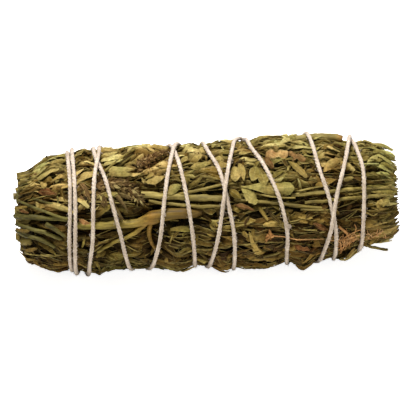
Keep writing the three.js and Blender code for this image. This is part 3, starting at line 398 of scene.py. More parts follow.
def half_width(kind, t):
    """Half width of a leaf, as a share of its greatest, at t from stalk to tip."""
    inside = np.clip(t, 0, 1)
    if kind == "lance":
        w = np.sin(np.pi * inside ** 0.82) ** 0.8
    elif kind == "spoon":
        w = np.clip(t * 1.15, 0, 1) ** 1.4 * round_tip(t, 0.62, 2)
        w = np.maximum(w, 0.1 * (1 - t))
    elif kind == "oval":
        w = np.sin(np.pi * inside ** 1.1) ** 0.6
    elif kind == "spade":
        w = 0.10 + 0.9 * np.sin(np.pi / 2 * np.clip(t * 1.2, 0, 1)) ** 1.6
        w = w * round_tip(t, 0.76, 3, 1.02)
        w = w * np.where(t > 0.6, 0.90 + 0.10 * np.cos(t * 70), 1)
    elif kind == "toothed":
        w = np.sin(np.pi * inside ** 1.15 * 0.93) ** 0.7
        w = w * (0.86 + 0.14 * np.cos(t * 34))
    else:
        w = 0.25 + 0.75 * np.sin(np.pi * np.clip(t * 0.8 + 0.12, 0, 1))
    return np.maximum(w, 0.05)


class LeafBed:
    """Collects leaves in one mesh, each with its own tone, age and depth for painted shade, and finishes them
    as one piece.
    """

    def __init__(self):
        self.bm = bmesh.new()
        self.bm.loops.layers.uv.new("leaf")
        layers = self.bm.verts.layers.float
        # deep holds how far a leaf lies under the open face, for the painted shade in its colour
        self.tone, self.age, self.deep = [layers.new(name) for name in ("tone", "age", "deep")]

    def sheet(self, steps, across):
        """Adds a flat grid: its vertices, their place from 0 to 1 along and from -1 to 1 across."""
        made = bmesh.ops.create_grid(self.bm, x_segments=steps, y_segments=across, size=1.0,
                                     calc_uvs=True)
        verts = made["verts"]
        co = np.array([v.co for v in verts])
        return verts, (co[:, 0] + 1) / 2, co[:, 1]

    def set(self, verts, points, tone, age, deep):
        for v, point, shadow in zip(verts, points, deep):
            v.co = point
            v[self.tone] = tone
            v[self.age] = age
            v[self.deep] = shadow

    def leaf(self, u0, th0, depth, heading, length, width, kind, *, tone, age, fold, steps, phase,
             across=4, roll=0.0, twist=0.0, bend=0.0, ripple=0.12, proud=0.0, root=1.2, free=False,
             end=False, shade=1.0):
        """Adds one leaf that starts at u0 and th0 and lies along the outside, depth mm under it.

        roll, twist, fold, bend and ripple shape it; proud lifts its tip and root sinks its stalk; free lets
        it lie over stalks and flowers; end keeps it as high as its start; shade scales the painted shade that
        darkens its colour deep in.
        """
        verts, t, s = self.sheet(steps, across)
        w = width * half_width(kind, t)
        turn = heading + bend * (t - 0.5)
        run = length * t
        y = s * w
        z = -fold * np.abs(s) ** 1.3 * w + ripple * width * np.sin(t * 9 + phase + s * 2.0) * np.abs(s)
        z = z + ripple * width * 0.5 * np.sin(t * 17 + phase * 2)
        angle = roll + twist * (t - 0.5)
        side = y * np.cos(angle) - z * np.sin(angle)
        up = y * np.sin(angle) + z * np.cos(angle)
        mid = heading + bend * (t * 0.5 - 0.5)
        u = u0 + np.cos(mid) * run - np.sin(turn) * side
        th = th0 + (np.sin(mid) * run + np.cos(turn) * side) / LEAF_ROUND
        u = np.clip(u, LEFT_CUT - END_SLACK, RIGHT_END + END_SLACK)
        held = reach(u, th, BOUND)
        top = held if free else reach(u, th)
        if end:
            top = 0.45 * top + 0.55 * reach(np.full_like(u, u0), th)
        sunk = root * np.clip(1 - t * 2.6, 0, 1) ** 1.4
        up = up - 0.8 * up.max()
        r = top - depth - sunk + up + proud * np.clip(t - 0.35, 0, 1)
        # what would pass the limit is pressed back to just above it
        clear = np.clip((held - outside(u, th)) / 0.6, 0, 1)
        limit = top + (0.5 * clear if free else 0.1)
        r = np.where(r > limit, limit + (r - limit) * 0.12, r)
        # painted shade: the deeper a point lies under the open face, the darker its colour is made
        open_face = 0.55 * top + 0.45 * (outside(u, th) + 0.9)
        deep = np.clip((open_face - r) / 3.0, 0, 1) * shade * (0.35 if free else 1.0)
        self.set(verts, place(u, th, np.maximum(r, 1.0)), tone, age, deep)

    def finish(self, name, slot, material, nodes=(), thickness=0.13):
        """Makes the piece; its leaves get the thickness in mm, or stay as they are at 0."""
        mesh = bpy.data.meshes.new(name)
        bmesh.ops.recalc_face_normals(self.bm, faces=self.bm.faces)
        self.bm.to_mesh(mesh)
        self.bm.free()
        mesh.polygons.foreach_set("use_smooth", [False] * len(mesh.polygons))
        piece = add_piece(name, mesh, material, nodes)
        if thickness:
            wall = piece.modifiers.new("leaf thickness", "SOLIDIFY")
            wall.thickness = thickness * MM
            wall.offset = 0


def tube_piece(name, lines, material, nodes=(), sides=2):
    """Bars along chains of (point in metres, radius in mm), closed at their ends, as one mesh."""
    curve = bpy.data.curves.new(name + " line", "CURVE")
    curve.dimensions = "3D"
    curve.bevel_depth = 1.0
    curve.bevel_resolution = sides
    curve.use_fill_caps = True
    curve.resolution_u = 1
    for points, radii in lines:
        spline = curve.splines.new("POLY")
        spline.points.add(len(points) - 1)
        flat = np.concatenate([np.asarray(points), np.ones((len(points), 1))], 1)
        spline.points.foreach_set("co", flat.ravel())
        spline.points.foreach_set("radius", np.asarray(radii, float) * MM)
        spline.use_smooth = True
    holder = new_object(name + " line", curve)
    mesh = bpy.data.meshes.new_from_object(holder)
    bpy.data.objects.remove(holder)
    mesh.name = name
    work = bmesh.new()
    work.from_mesh(mesh)
    bmesh.ops.remove_doubles(work, verts=work.verts, dist=1e-7)
    bmesh.ops.recalc_face_normals(work, faces=work.faces)
    work.to_mesh(mesh)
    work.free()
    return add_piece(name, mesh, material, nodes)


# ---------- shader helpers
WHITE = (1.0, 1.0, 1.0)


def new_material(name):
    material = bpy.data.materials.new(name)
    material.use_nodes = True
    tree = material.node_tree
    tree.nodes.clear()
    shader = tree.nodes.new("ShaderNodeBsdfPrincipled")
    out = tree.nodes.new("ShaderNodeOutputMaterial")
    tree.links.new(shader.outputs["BSDF"], out.inputs["Surface"])
    return material, tree, shader


def feed(tree, inputs, values):
    """Gives each named or numbered input its value: a number, a colour or another node's output."""
    for key, value in values.items():
        if isinstance(value, bpy.types.NodeSocket):
            tree.links.new(value, inputs[key])
        elif isinstance(value, tuple) and len(inputs[key].default_value) == 4:
            inputs[key].default_value = (*value, 1)
        else:
            inputs[key].default_value = value


def calc(tree, operation, *values, clamp=False):
    made = tree.nodes.new("ShaderNodeMath")
    made.operation = operation
    made.use_clamp = clamp
    feed(tree, made.inputs, dict(enumerate(values)))
    return made.outputs[0]


def span(tree, value, start, end, low=0.0, high=1.0, curve="SMOOTHSTEP"):
    """Maps a value from start to end onto low to high."""
    made = tree.nodes.new("ShaderNodeMapRange")
    made.interpolation_type = curve
    feed(tree, made.inputs, dict(enumerate((value, start, end, low, high))))
    return made.outputs[0]


def ramp(tree, value, stops):
    made = tree.nodes.new("ShaderNodeValToRGB")
    points = made.color_ramp.elements
    while len(points) < len(stops):
        points.new(0.5)
    for point, (where, color) in zip(points, stops):
        point.position = where
        point.color = (*color, 1)
    feed(tree, made.inputs, {"Fac": value})
    return made.outputs["Color"]


def mix(tree, blend, share, a, b):
    made = tree.nodes.new("ShaderNodeMix")
    made.data_type = "RGBA"
    made.blend_type = blend
    feed(tree, made.inputs, {0: share, 6: a, 7: b})
    return made.outputs[2]


def attribute(tree, name):
    made = tree.nodes.new("ShaderNodeAttribute")
    made.attribute_name = name
    return made.outputs["Fac"]


def split(tree, vector):
    made = tree.nodes.new("ShaderNodeSeparateXYZ")
    feed(tree, made.inputs, {0: vector})
    return made.outputs


def object_place(tree):
    return tree.nodes.new("ShaderNodeTexCoord").outputs["Object"]


def speckle(tree, vector, scale, detail, roughness):
    made = tree.nodes.new("ShaderNodeTexNoise")
    feed(tree, made.inputs, {"Vector": vector, "Scale": scale, "Detail": detail, "Roughness": roughness})
    return made.outputs["Fac"]


def dried_group():
    """Group: blotches and a fine grain, for anything dried; their size is set by Scale."""
    group = bpy.data.node_groups.new("dried surface", "ShaderNodeTree")
    for name, side, kind in (("Scale", "INPUT", "Float"), ("Stretch", "INPUT", "Vector"),
                             ("Blotch", "OUTPUT", "Float"), ("Grain", "OUTPUT", "Float")):
        group.interface.new_socket(name, in_out=side, socket_type="NodeSocket" + kind)
    given = group.nodes.new("NodeGroupInput").outputs
    stretch = group.nodes.new("ShaderNodeVectorMath")
    stretch.operation = "MULTIPLY"
    feed(group, stretch.inputs, {0: object_place(group), 1: given["Stretch"]})
    where = stretch.outputs[0]
    blotch = speckle(group, where, given["Scale"], 3.0, 0.6)
    grain = speckle(group, where, calc(group, "MULTIPLY", given["Scale"], 5.0), 4.0, 0.7)
    crisp = span(group, grain, 0.33, 0.67, 0.08, 0.92, "LINEAR")
    feed(group, group.nodes.new("NodeGroupOutput").inputs, {"Blotch": blotch, "Grain": crisp})
    return group


DRIED = dried_group()


def dried(tree, scale, stretch=(1.0, 1.0, 1.0)):
    """The blotches and the grain of a dried surface."""
    made = tree.nodes.new("ShaderNodeGroup")
    made.node_tree = DRIED
    feed(tree, made.inputs, {"Scale": scale, "Stretch": stretch})
    return made.outputs["Blotch"], made.outputs["Grain"]


def surface(tree, shader, color, roughness, height, strength, distance, shine):
    """Joins a colour, a roughness and a bump of the height to a material's shader."""
    bump = tree.nodes.new("ShaderNodeBump")
    feed(tree, bump.inputs, {"Strength": strength, "Distance": distance, "Height": height})
    feed(tree, shader.inputs, {"Base Color": color, "Roughness": roughness,
                               "Normal": bump.outputs["Normal"], "Specular IOR Level": shine})


# ---------- materials
VEIN_COLOR = (0.36, 0.30, 0.12)
# painted shade: how a leaf's colour darkens with its depth under the open face; and how its hue wanders in
# patches
PAINTED_SHADE_BY_DEPTH = [(0.0, WHITE), (0.18, (0.64, 0.58, 0.49)), (0.45, (0.24, 0.19, 0.12)), (1.0, (0.055, 0.042, 0.022))]
HUES = [(0.36, (0.82, 0.98, 0.90)), (0.5, WHITE), (0.64, (1.13, 0.98, 0.92))]
# painted light and shade on the string by its height over the table: brightest at the top, darkest a little
# above the middle
STRING_LIGHT_AND_SHADE_BY_HEIGHT = [(0.0, (0.88, 0.87, 0.82)), (0.45, (0.83, 0.82, 0.77)), (0.74, (0.77, 0.76, 0.70)),
          (0.94, (0.98, 0.98, 0.97))]


def leaf_material(name, stops, brown, vein=0.35):
    """Dry leaf: tone from leaf to leaf, a pale midrib with side veins, blotches and brown ends, and painted
    shade deeper in the bunch.
    """
    material, tree, shader = new_material(name)
    blotch, grain = dried(tree, 260)
    uv = tree.nodes.new("ShaderNodeUVMap")
    uv.uv_map = "leaf"
    along, across, _ = split(tree, uv.outputs["UV"])
    tone = calc(tree, "ADD", attribute(tree, "tone"), calc(tree, "MULTIPLY_ADD", blotch, 0.5, -0.25))
    color = ramp(tree, tone, stops)
    # pale lines: the midrib, side veins that slant towards the tip, and the rim
    side = calc(tree, "ABSOLUTE", calc(tree, "SUBTRACT", across, 0.5))
    midrib = span(tree, side, 0.015, 0.07, 1.0, 0.0)
    slant = calc(tree, "MULTIPLY_ADD", side, -0.55, along)
    wave = calc(tree, "SINE", calc(tree, "MULTIPLY", slant, 60.0))
    veins = calc(tree, "MAXIMUM", midrib, span(tree, wave, 0.8, 1.0, 0.0, 0.45))
    lines = calc(tree, "MAXIMUM", veins, span(tree, side, 0.38, 0.49, 0.0, 1.1))
    color = mix(tree, "MIX", calc(tree, "MULTIPLY", lines, vein), color, VEIN_COLOR)
    # brown blotches, more of them the older the leaf is
    worn = calc(tree, "MULTIPLY_ADD", blotch, 1.3, -0.62)
    color = mix(tree, "MIX", calc(tree, "ADD", worn, attribute(tree, "age"), clamp=True), color, brown)
    # painted shade: the colour darkens the deeper the leaf lies
    color = mix(tree, "MULTIPLY", 1.0, color, ramp(tree, attribute(tree, "deep"), PAINTED_SHADE_BY_DEPTH))
    color = mix(tree, "MULTIPLY", 1.0, color, ramp(tree, dried(tree, 55)[0], HUES))
    color = mix(tree, "OVERLAY", 0.45, color, grain)
    roughness = calc(tree, "MULTIPLY_ADD", blotch, 0.3, 0.47)
    surface(tree, shader, color, roughness, calc(tree, "MULTIPLY_ADD", veins, 0.6, grain), 0.5, 0.00012, 0.05)
    return material


def stalk_material(name, stops, tint_and_shade=None, scale=170):
    """Dry stalk: fibres drawn out along it, blotches, and a colour change along the bunch if given, which is
    the stalk's own colour on some stalks and painted shade on others.
    """
    material, tree, shader = new_material(name)
    strand, grain = dried(tree, scale, (0.12, 1.6, 1.6))
    blotch = dried(tree, 300)[0]
    lean = calc(tree, "MULTIPLY_ADD", blotch, 0.45, calc(tree, "MULTIPLY", strand, 0.6))
    color = ramp(tree, lean, stops)
    if tint_and_shade:
        start, end, tints_and_shades = tint_and_shade
        # the colour change along the bunch, which is painted shade on the shaded stalk
        along = span(tree, split(tree, object_place(tree))["X"], start * MM, end * MM, curve="LINEAR")
        color = mix(tree, "MULTIPLY", 1.0, color, ramp(tree, along, tints_and_shades))
    color = mix(tree, "OVERLAY", 0.6, color, grain)
    surface(tree, shader, color, calc(tree, "MULTIPLY_ADD", blotch, 0.3, 0.4), grain, 0.6, 0.00015, 0.15)
    return material


def string_material():
    """Soft undyed cotton, a little darker in the lay of the twist and grubby from the leaves, with painted
    light and shade by its height over the table.
    """
    material, tree, shader = new_material("cotton string")
    blotch, grain = dried(tree, 420)
    color = ramp(tree, blotch, [(0.25, (0.39, 0.31, 0.235)), (0.5, (0.54, 0.445, 0.365)),
                                (0.8, (0.65, 0.56, 0.48))])
    color = mix(tree, "OVERLAY", 0.35, color, grain)
    height = span(tree, split(tree, object_place(tree))["Z"], 0.0, 35 * MM, curve="LINEAR")
    # painted light and shade by the string's height
    color = mix(tree, "MULTIPLY", 1.0, color, ramp(tree, height, STRING_LIGHT_AND_SHADE_BY_HEIGHT))
    surface(tree, shader, color, 0.85, grain, 0.5, 0.0001, 0.2)
    feed(tree, shader.inputs, {"Sheen Weight": 0.3})
    return material


# name, colours from the darkest tone to the palest, brown of the blotches
# the olive leaf is a darker, greener copy of the khaki leaf for the lower sprigs and the cut end: partly
# their own colour, partly painted shade
LEAF_GREEN = leaf_material("olive leaf", [
    (0.0, (0.005, 0.0027, 0.0004)), (0.3, (0.023, 0.0134, 0.0019)), (0.55, (0.067, 0.0425, 0.0066)),
    (0.8, (0.155, 0.108, 0.0215)), (1.0, (0.30, 0.230, 0.062))], (0.066, 0.030, 0.006))
LEAF_DRY = leaf_material("khaki leaf", [
    (0.0, (0.010, 0.005, 0.0007)), (0.3, (0.046, 0.027, 0.0040)), (0.55, (0.152, 0.101, 0.0180)),
    (0.8, (0.325, 0.254, 0.082)), (1.0, (0.53, 0.440, 0.175))], (0.14, 0.072, 0.018))
# a near-black leaf colour for what lies deep inside the bunch: painted shade
LEAF_IN_PAINTED_SHADE = leaf_material("pressed leaf in painted shade", [
    (0.0, (0.004, 0.003, 0.001)), (0.5, (0.016, 0.012, 0.004)), (1.0, (0.045, 0.035, 0.012))],
    (0.02, 0.012, 0.005))
LEAF_DEAD = leaf_material("dead red-brown leaf", [
    (0.0, (0.04, 0.018, 0.006)), (0.35, (0.13, 0.062, 0.020)), (0.6, (0.32, 0.175, 0.066)),
    (1.0, (0.70, 0.46, 0.200))], (0.12, 0.045, 0.014))
FLOWER_BROWN = leaf_material("dried brown flower", [
    (0.0, (0.022, 0.011, 0.004)), (0.4, (0.086, 0.047, 0.018)), (0.75, (0.20, 0.128, 0.050)),
    (1.0, (0.36, 0.265, 0.110))], (0.070, 0.036, 0.011), vein=0.15)
FLOWER_ORANGE = leaf_material("dried orange flower", [
    (0.0, (0.10, 0.042, 0.010)), (0.5, (0.26, 0.125, 0.038)), (1.0, (0.48, 0.29, 0.115))],
    (0.17, 0.075, 0.022), vein=0.15)
# name, colours, and for some the tint along the bunch: from, to, and its colours; on the shaded stalk it is
# painted shade towards the cut end
STALK_TAN = stalk_material("dry tan stalk", [
    (0.25, (0.030, 0.021, 0.005)), (0.5, (0.130, 0.095, 0.021)), (0.8, (0.36, 0.28, 0.082))])
# painted shade: darker and greener towards the cut end
STALK_SHADED = stalk_material("stalk in painted shade towards the cut end", [
    (0.25, (0.034, 0.025, 0.006)), (0.5, (0.135, 0.100, 0.022)), (0.8, (0.36, 0.28, 0.082))],
    (-50.0, -10.0, [(0.0, (0.42, 0.47, 0.38)), (0.35, (0.50, 0.55, 0.46)), (0.7, WHITE)]))
STALK_GREY = stalk_material("grey-green stalk", [
    (0.25, (0.080, 0.058, 0.015)), (0.5, (0.205, 0.158, 0.042)), (0.8, (0.36, 0.285, 0.094))])
# olive to red-brown along the bunch is its own colour; the right part is also darkened, partly as painted
# shade
STALK_FORKED = stalk_material("red-brown stalk", [
    (0.2, (0.050, 0.033, 0.006)), (0.5, (0.165, 0.115, 0.022)), (0.85, (0.33, 0.25, 0.065))],
    (-34.0, 0.0, [(0.0, (0.9, 1.0, 0.95)), (0.42, (1.0, 1.0, 0.9)), (0.56, (0.82, 0.62, 0.44)),
                  (0.66, (0.62, 0.56, 0.48)), (0.84, (0.58, 0.48, 0.40)), (0.97, (0.36, 0.28, 0.20))]),
    scale=140)
STALK_TOP = stalk_material("top stalk", [
    (0.2, (0.085, 0.068, 0.019)), (0.5, (0.20, 0.158, 0.048)), (0.85, (0.38, 0.31, 0.115))],
    (24.0, 36.8, [(0.0, WHITE), (0.86, (1, 0.97, 0.9)), (0.94, (0.9, 0.68, 0.55)),
                  (1.0, (0.75, 0.48, 0.40))]))
STALK_ORANGE = stalk_material("dried orange thread", [
    (0.25, (0.10, 0.042, 0.011)), (0.5, (0.33, 0.155, 0.046)), (0.8, (0.62, 0.39, 0.17))])
COTTON = string_material()


# ---------- outer sprigs
# the leaves of one sprig: deepest, shallowest, how many, their tone, steps along each; the tone is lower in
# the deeper layers as painted shade
LEAF_LAYERS = [(3.6, 2.4, 38, 0.30, 5), (2.2, 1.3, 50, 0.42, 7), (1.1, 0.4, 74, 0.54, 8),
               (0.35, 0.0, 66, 0.62, 8)]
LEAF_LENGTH = (3.6, 9.5)
LEAF_WIDTH = (0.55, 1.6)
ROW_START = -49.5
ROW_LENGTH = 98
# shares of the leaves that lie askew, and that point to the cut end
ASKEW = 0.22
TURNED = 0.3
CRUMBS = 70
THIN_STALKS = 36
# the pressed inside of a sprig: its ends, its top under the leaves' reach, its base under the outside
HEART_START = -47.5
HEART_LENGTH = 94
HEART_TOP = 2.2
HEART_BASE = 6.4
# how much paler a sprig's leaves are, by how high it lies (sine of its angle above the front): partly their
# own colour, partly painted light from above
PALE_AND_LIT_BY_HEIGHT = ([-1.0, -0.6, -0.2, 0.26, 0.57, 0.9, 1.0], [0.05, 0.05, 0.21, 0.07, 0.18, 0.34, 0.35])
# small leaves that stand clear of the outline: place, angle, heading, length, half width, lift
STRAY_LEAVES = [
    (-33.5, 66, 24, 4.6, 0.5, 0.9), (-31.0, 70, 150, 3.0, 0.4, 0.8), (-30.0, 62, 20, 4.4, 0.6, 0.7),
    (-47.5, 42, 178, 4.0, 0.35, 0.5), (-44.0, 58, 160, 4.4, 0.6, 0.6), (-46.8, 8, 176, 4.2, 0.5, 0.5),
    (-46.6, -22, 186, 4.3, 0.55, 0.5), (-45.8, -66, 184, 5.0, 0.55, 0.5), (-38.0, 74, 30, 3.4, 0.6, 0.6),
    (-45.0, -44, 200, 4.0, 0.6, 0.5), (13.0, 76, 10, 5.0, 0.5, 0.5), (38.6, -68, 232, 4.6, 0.8, 0.9),
    (44.8, 62, -8, 5.2, 0.6, 0.4), (46.4, 40, 4, 4.4, 0.7, 0.3), (22.8, -79, 14, 5.2, 1.1, 1.4),
    (24.6, -86, -12, 4.6, 1.0, 1.5), (34.4, -80, 6, 5.0, 1.0, 1.5), (35.8, -87, 16, 4.2, 0.9, 1.5),
    (-8.6, -84, 8, 5.0, 0.9, 1.0), (0.6, -82, -8, 4.8, 0.9, 0.9)]


def tone_near(chance, mean, spread):
    """A random tone near the mean, between 0 and 1."""
    return min(1, max(0, chance.gauss(mean, spread)))


def cell_middle(index, u):
    """Angle of a sprig's middle line at u."""
    return SECTOR * (index + 0.5) + SWIRL * (u / 50) + 0.03 * math.sin(u * 0.11 + 1.3)


def pressed_heart(index):
    """The pressed inside of one sprig: a folded bar of leaf mass under its leaves, coloured in painted shade.
    """
    chance = random.Random(300 + index)
    bed = LeafBed()
    verts, t, s = bed.sheet(64, 18)
    u = HEART_START + t * HEART_LENGTH
    ring = s * math.pi
    phase = chance.random() * 9
    across = np.cos(ring) * (SECTOR * 0.54)
    th = np.array([cell_middle(index, x) for x in u]) + across
    top = reach(u, th) - HEART_TOP
    deep = outside(u, th) - HEART_BASE
    spots = [Vector((x * 0.45 + phase, a * 9, index * 3.0)) for x, a in zip(u, th)]
    lump = np.array([noise.noise(spot, noise_basis="PERLIN_ORIGINAL") for spot in spots])
    r = np.where(np.sin(ring) >= 0, top + 0.9 * lump, deep)
    squeeze = np.clip(np.minimum(t, 1 - t) * 24, 0.25, 1)
    r = deep + (r - deep) * np.minimum(np.abs(np.sin(ring)) ** 0.5 + 0.25, 1) * squeeze
    bed.set(verts, place(u, th, r), 0.5, 0.2, np.zeros(len(verts)))
    bmesh.ops.remove_doubles(bed.bm, verts=bed.bm.verts, dist=1e-6)
    rim = [e for e in bed.bm.edges if e.is_boundary]
    bmesh.ops.holes_fill(bed.bm, edges=rim, sides=0)
    bmesh.ops.triangulate(bed.bm, faces=[f for f in bed.bm.faces if len(f.verts) > 4])
    bed.finish("pressed_heart_%02d" % (index + 1), "leaf_inner", LEAF_IN_PAINTED_SHADE, thickness=0)


def stray_leaves():
    chance = random.Random(77)
    bed = LeafBed()
    for u, deg, heading, length, half, lift in STRAY_LEAVES:
        bed.leaf(u, front(deg), 0.3 - lift, math.radians(heading), length, half, "lance",
                 roll=chance.gauss(0, 0.4), twist=chance.gauss(0, 0.5), fold=0.6, proud=lift,
                 tone=chance.uniform(0.4, 0.8), age=chance.choice([0, 0, 0.3]), steps=9, across=3, root=0.8,
                 phase=deg, free=True)
    bed.finish("stray_leaves", "leaf_dry", LEAF_DRY)


def lay(u, th):
    """The way the leaves lie at a place: their slope against the bunch, in radians."""
    high = math.sin(th - VIEW_TURN)
    if u < -30:
        return 0.05 - 0.35 * max(0.0, 0.35 - high) * min(1.0, (-30 - u) / 10)
    return 0.10 * high


def thin_stalk(index, chance):
    """A thin stalk among the leaves of one sprig."""
    u0 = chance.uniform(-49, 38)
    th0 = cell_middle(index, u0) + (chance.random() - 0.5) * SECTOR
    length = min(chance.uniform(9, 34), RIGHT_END - 1.6 - u0)
    lean = chance.gauss(0, 0.14)
    bow = chance.gauss(0, 0.004)
    depth = chance.uniform(-0.1, 1.1)
    thick = chance.choice([0.10, 0.12, 0.15, 0.19, 0.24, 0.34])
    x = np.arange(0, length, 1.1)
    u = u0 + x
    th = th0 + (lean * x + bow * x * x) / LEAF_ROUND
    r = reach(u, th) - depth - thick - 0.4 * (1 - np.cos(x / length * 6.28)) * chance.random()
    return place(u, th, r), thick * (1 - 0.35 * x / length)


def outer_sprig(index):
    """All the leaves and thin stalks of one sprig on the outside of the bunch."""
    chance = random.Random(700 + index * 13)
    bed = LeafBed()
    pale_and_lit = float(np.interp(math.sin(SECTOR * (index + 0.5) - VIEW_TURN), *PALE_AND_LIT_BY_HEIGHT))
    for deep, shallow, count, mean, steps in LEAF_LAYERS:
        for k in range(count):
            length = chance.uniform(*LEAF_LENGTH)
            u = ROW_START + (ROW_LENGTH - length) * (k + chance.random()) / count
            th = cell_middle(index, u) + (chance.random() - 0.5) * SECTOR * 1.15
            heading = chance.gauss(0, 0.27) + lay(u, th)
            if chance.random() < ASKEW:
                heading += chance.uniform(-1.1, 1.1)
            if chance.random() < TURNED:
                heading += math.pi
                u = u + length
            kind = chance.choice(["lance", "lance", "lance", "spoon", "broken"])
            width = chance.uniform(*LEAF_WIDTH) * (0.8 if kind == "broken" else 1)
            bed.leaf(u, th, chance.uniform(shallow, deep), heading, length, width, kind,
                     roll=chance.gauss(0, 0.6), twist=chance.gauss(0, 0.6), fold=chance.uniform(-0.1, 1.3),
                     bend=chance.gauss(0, 0.3), ripple=chance.uniform(0.04, 0.26),
                     proud=chance.uniform(-0.2, 0.9), tone=tone_near(chance, mean + pale_and_lit, 0.21),
                     age=max(0, chance.gauss(-0.05, 0.25)), steps=steps, phase=chance.random() * 6)
    for _ in range(CRUMBS):
        u = chance.uniform(-47, 47)
        th = cell_middle(index, u) + (chance.random() - 0.5) * SECTOR * 1.1
        bed.leaf(u, th, chance.uniform(-0.1, 0.5), chance.uniform(-3, 3), chance.uniform(1.0, 3.2),
                 chance.uniform(0.2, 0.8), chance.choice(["broken", "lance"]),
                 roll=chance.gauss(0, 0.8), twist=chance.gauss(0, 1.0), fold=chance.uniform(0, 0.8),
                 tone=tone_near(chance, 0.55, 0.3), age=max(0, chance.gauss(0.1, 0.35)),
                 steps=3, across=2, root=0.2, phase=chance.random() * 6)
    number = index + 1
    # the lower sprigs take the darker olive leaf: partly their own colour, partly painted shade
    slot = "leaf_green" if index % 2 else "leaf_dry"
    faces_up = math.sin(SECTOR * (index + 0.5)) > 0.3
    bed.finish("leaves_%02d" % number, slot, LEAF_DRY if faces_up else LEAF_GREEN,
               ("outer_sprig_%d" % number,))
    lines = [thin_stalk(index, chance) for _ in range(THIN_STALKS)]
    tube_piece("stalks_%02d" % number, lines, STALK_TAN, sides=1)


# ---------- the two ends
CUT_STALKS = 120
CUT_LEAVES = 300
TIP_LEAVES = 420


def end_place(chance, least, u):
    """A random place on a section at u: share of the way out, angle, the radius there and its depth."""
    ring = math.sqrt(chance.uniform(least, 1.0))
    th = chance.uniform(-math.pi, math.pi)
    shell = outside(u, th)
    return ring, th, shell, shell * (1 - ring) + 0.1


def cut_end():
    """Stalks and leaf ends cut off square at the -X end."""
    chance = random.Random(41)
    lines = []
    for _ in range(CUT_STALKS):
        ring, th, shell, _ = end_place(chance, 0.0, -49.5)
        end = LEFT_CUT - 0.5 + chance.random() * 1.6 + 1.2 * ring ** 4
        r = ring * (shell - 0.7)
        thick = chance.choice([0.3, 0.45, 0.6, 0.9, 1.2]) * chance.uniform(0.8, 1.2)
        x = np.array([end, end + 1.5, end + 4, end + 8])
        spread = r * np.array([1.0, 1.02, 1.05, 1.08]) - np.array([0, 0, 0.3, 1.0])
        drift = th + np.array([0, 0.0, 0.01, 0.03]) * chance.gauss(0, 1)
        lines.append((place(x, drift, spread), np.full(4, thick)))
    tube_piece("cut_stalks", lines, STALK_TAN, sides=2)
    bed = LeafBed()
    for _ in range(CUT_LEAVES):
        ring, th, shell, depth = end_place(chance, 0.02, -48.5)
        length = chance.uniform(5, 8)
        start = LEFT_CUT + length + 1.8 * chance.random() + 0.9 * ring ** 4
        # paler on the upper side: partly the leaves' own colour, partly painted light from above
        mean = 0.5 + 0.3 * max(0.0, math.sin(th - VIEW_TURN))
        bed.leaf(start, th, min(depth, shell - 1.5), math.pi + chance.gauss(0, 0.14), length,
                 chance.uniform(0.6, 1.4), chance.choice(["broken", "broken", "spoon"]),
                 roll=chance.uniform(-1.5, 1.5), twist=chance.gauss(0, 0.4), fold=chance.uniform(0, 0.8),
                 tone=tone_near(chance, mean, 0.2), age=max(0, chance.gauss(0.1, 0.3)),
                 steps=4, across=3, root=0.0, phase=chance.random() * 6, shade=0.3)
    bed.finish("cut_leaves", "leaf_green", LEAF_GREEN)


def leafy_end():
    """Leaf tips that stand out at the +X end, ragged, with toothed and rounded ends."""
    chance = random.Random(43)
    bed = LeafBed()
    for _ in range(TIP_LEAVES):
        ring, th, shell, depth = end_place(chance, 0.01, 46.0)
        end = RIGHT_END + 0.5 - 5.2 * chance.random() ** 1.2 - 0.7 * ring ** 4
        length = chance.uniform(4.5, 8)
        # paler on the upper side: partly the leaves' own colour, partly painted light from above
        mean = 0.66 + 0.1 * math.sin(th - VIEW_TURN)
        bed.leaf(end - length, th, min(depth, shell - 1.2), chance.gauss(0, 0.14), length,
                 chance.uniform(0.5, 1.3), chance.choice(["spoon", "toothed", "toothed", "lance"]),
                 roll=chance.uniform(-1.3, 1.3), twist=chance.gauss(0, 0.8), fold=chance.uniform(0, 0.9),
                 bend=chance.gauss(0, 0.3), ripple=chance.uniform(0.1, 0.35),
                 tone=tone_near(chance, mean, 0.2), age=max(0, chance.gauss(-0.05, 0.2)),
                 steps=9, root=0.0, phase=chance.random() * 6, free=True, end=True, shade=0.4)
    bed.finish("leaf_tips", "leaf_green", LEAF_DRY)


# ---------- single stalks and flowers
# the dry strands that hang from the bent flower: from, to (along the bunch, degrees), half width
STRANDS = [(-24.8, 16, -21.8, -13, 0.42), (-24.0, 17, -21.0, -5, 0.34), (-25.6, 17, -23.2, -8, 0.36),
           (-27.9, 16, -26.9, 1, 0.40), (-26.9, 16, -25.9, 3, 0.36), (-28.6, 17, -28.4, 4, 0.3),
           (-34.0, 32, -30.0, 3, 0.55), (-33.4, 30, -30.6, 10, 0.4), (-32.6, 27, -30.2, 12, 0.35),
           (-30.5, 24, -27.5, 22, 0.4), (-25.4, 22, -19.8, 25, 0.35), (-23.0, 15, -19.0, 8, 0.3)]
SPIKE_STEP = 0.3
# curled orange threads: how many, middle (along the bunch, degrees), length, spread along and round
ORANGE_THREADS = [(44, (36.6, -48), 3.0, 1.3, 3.2), (26, (43.6, -53), 2.0, 1.8, 2.5)]
ORANGE_STALK = [(31.5, -46, 0.2, 0.2), (36.6, -47, 0.0, 0.2), (46.0, -50, 0.1, 0.16)]
# the orange calyx: its place (along the bunch, degrees), and its teeth: heading, length, half width
CALYX = (16.4, -34)
CALYX_TEETH = [(92, 2.0, 0.34), (138, 1.1, 0.42), (178, 1.3, 0.46), (214, 1.6, 0.30),
               (238, 2.1, 0.17), (58, 1.0, 0.36), (16, 1.3, 0.40), (284, 0.9, 0.32)]


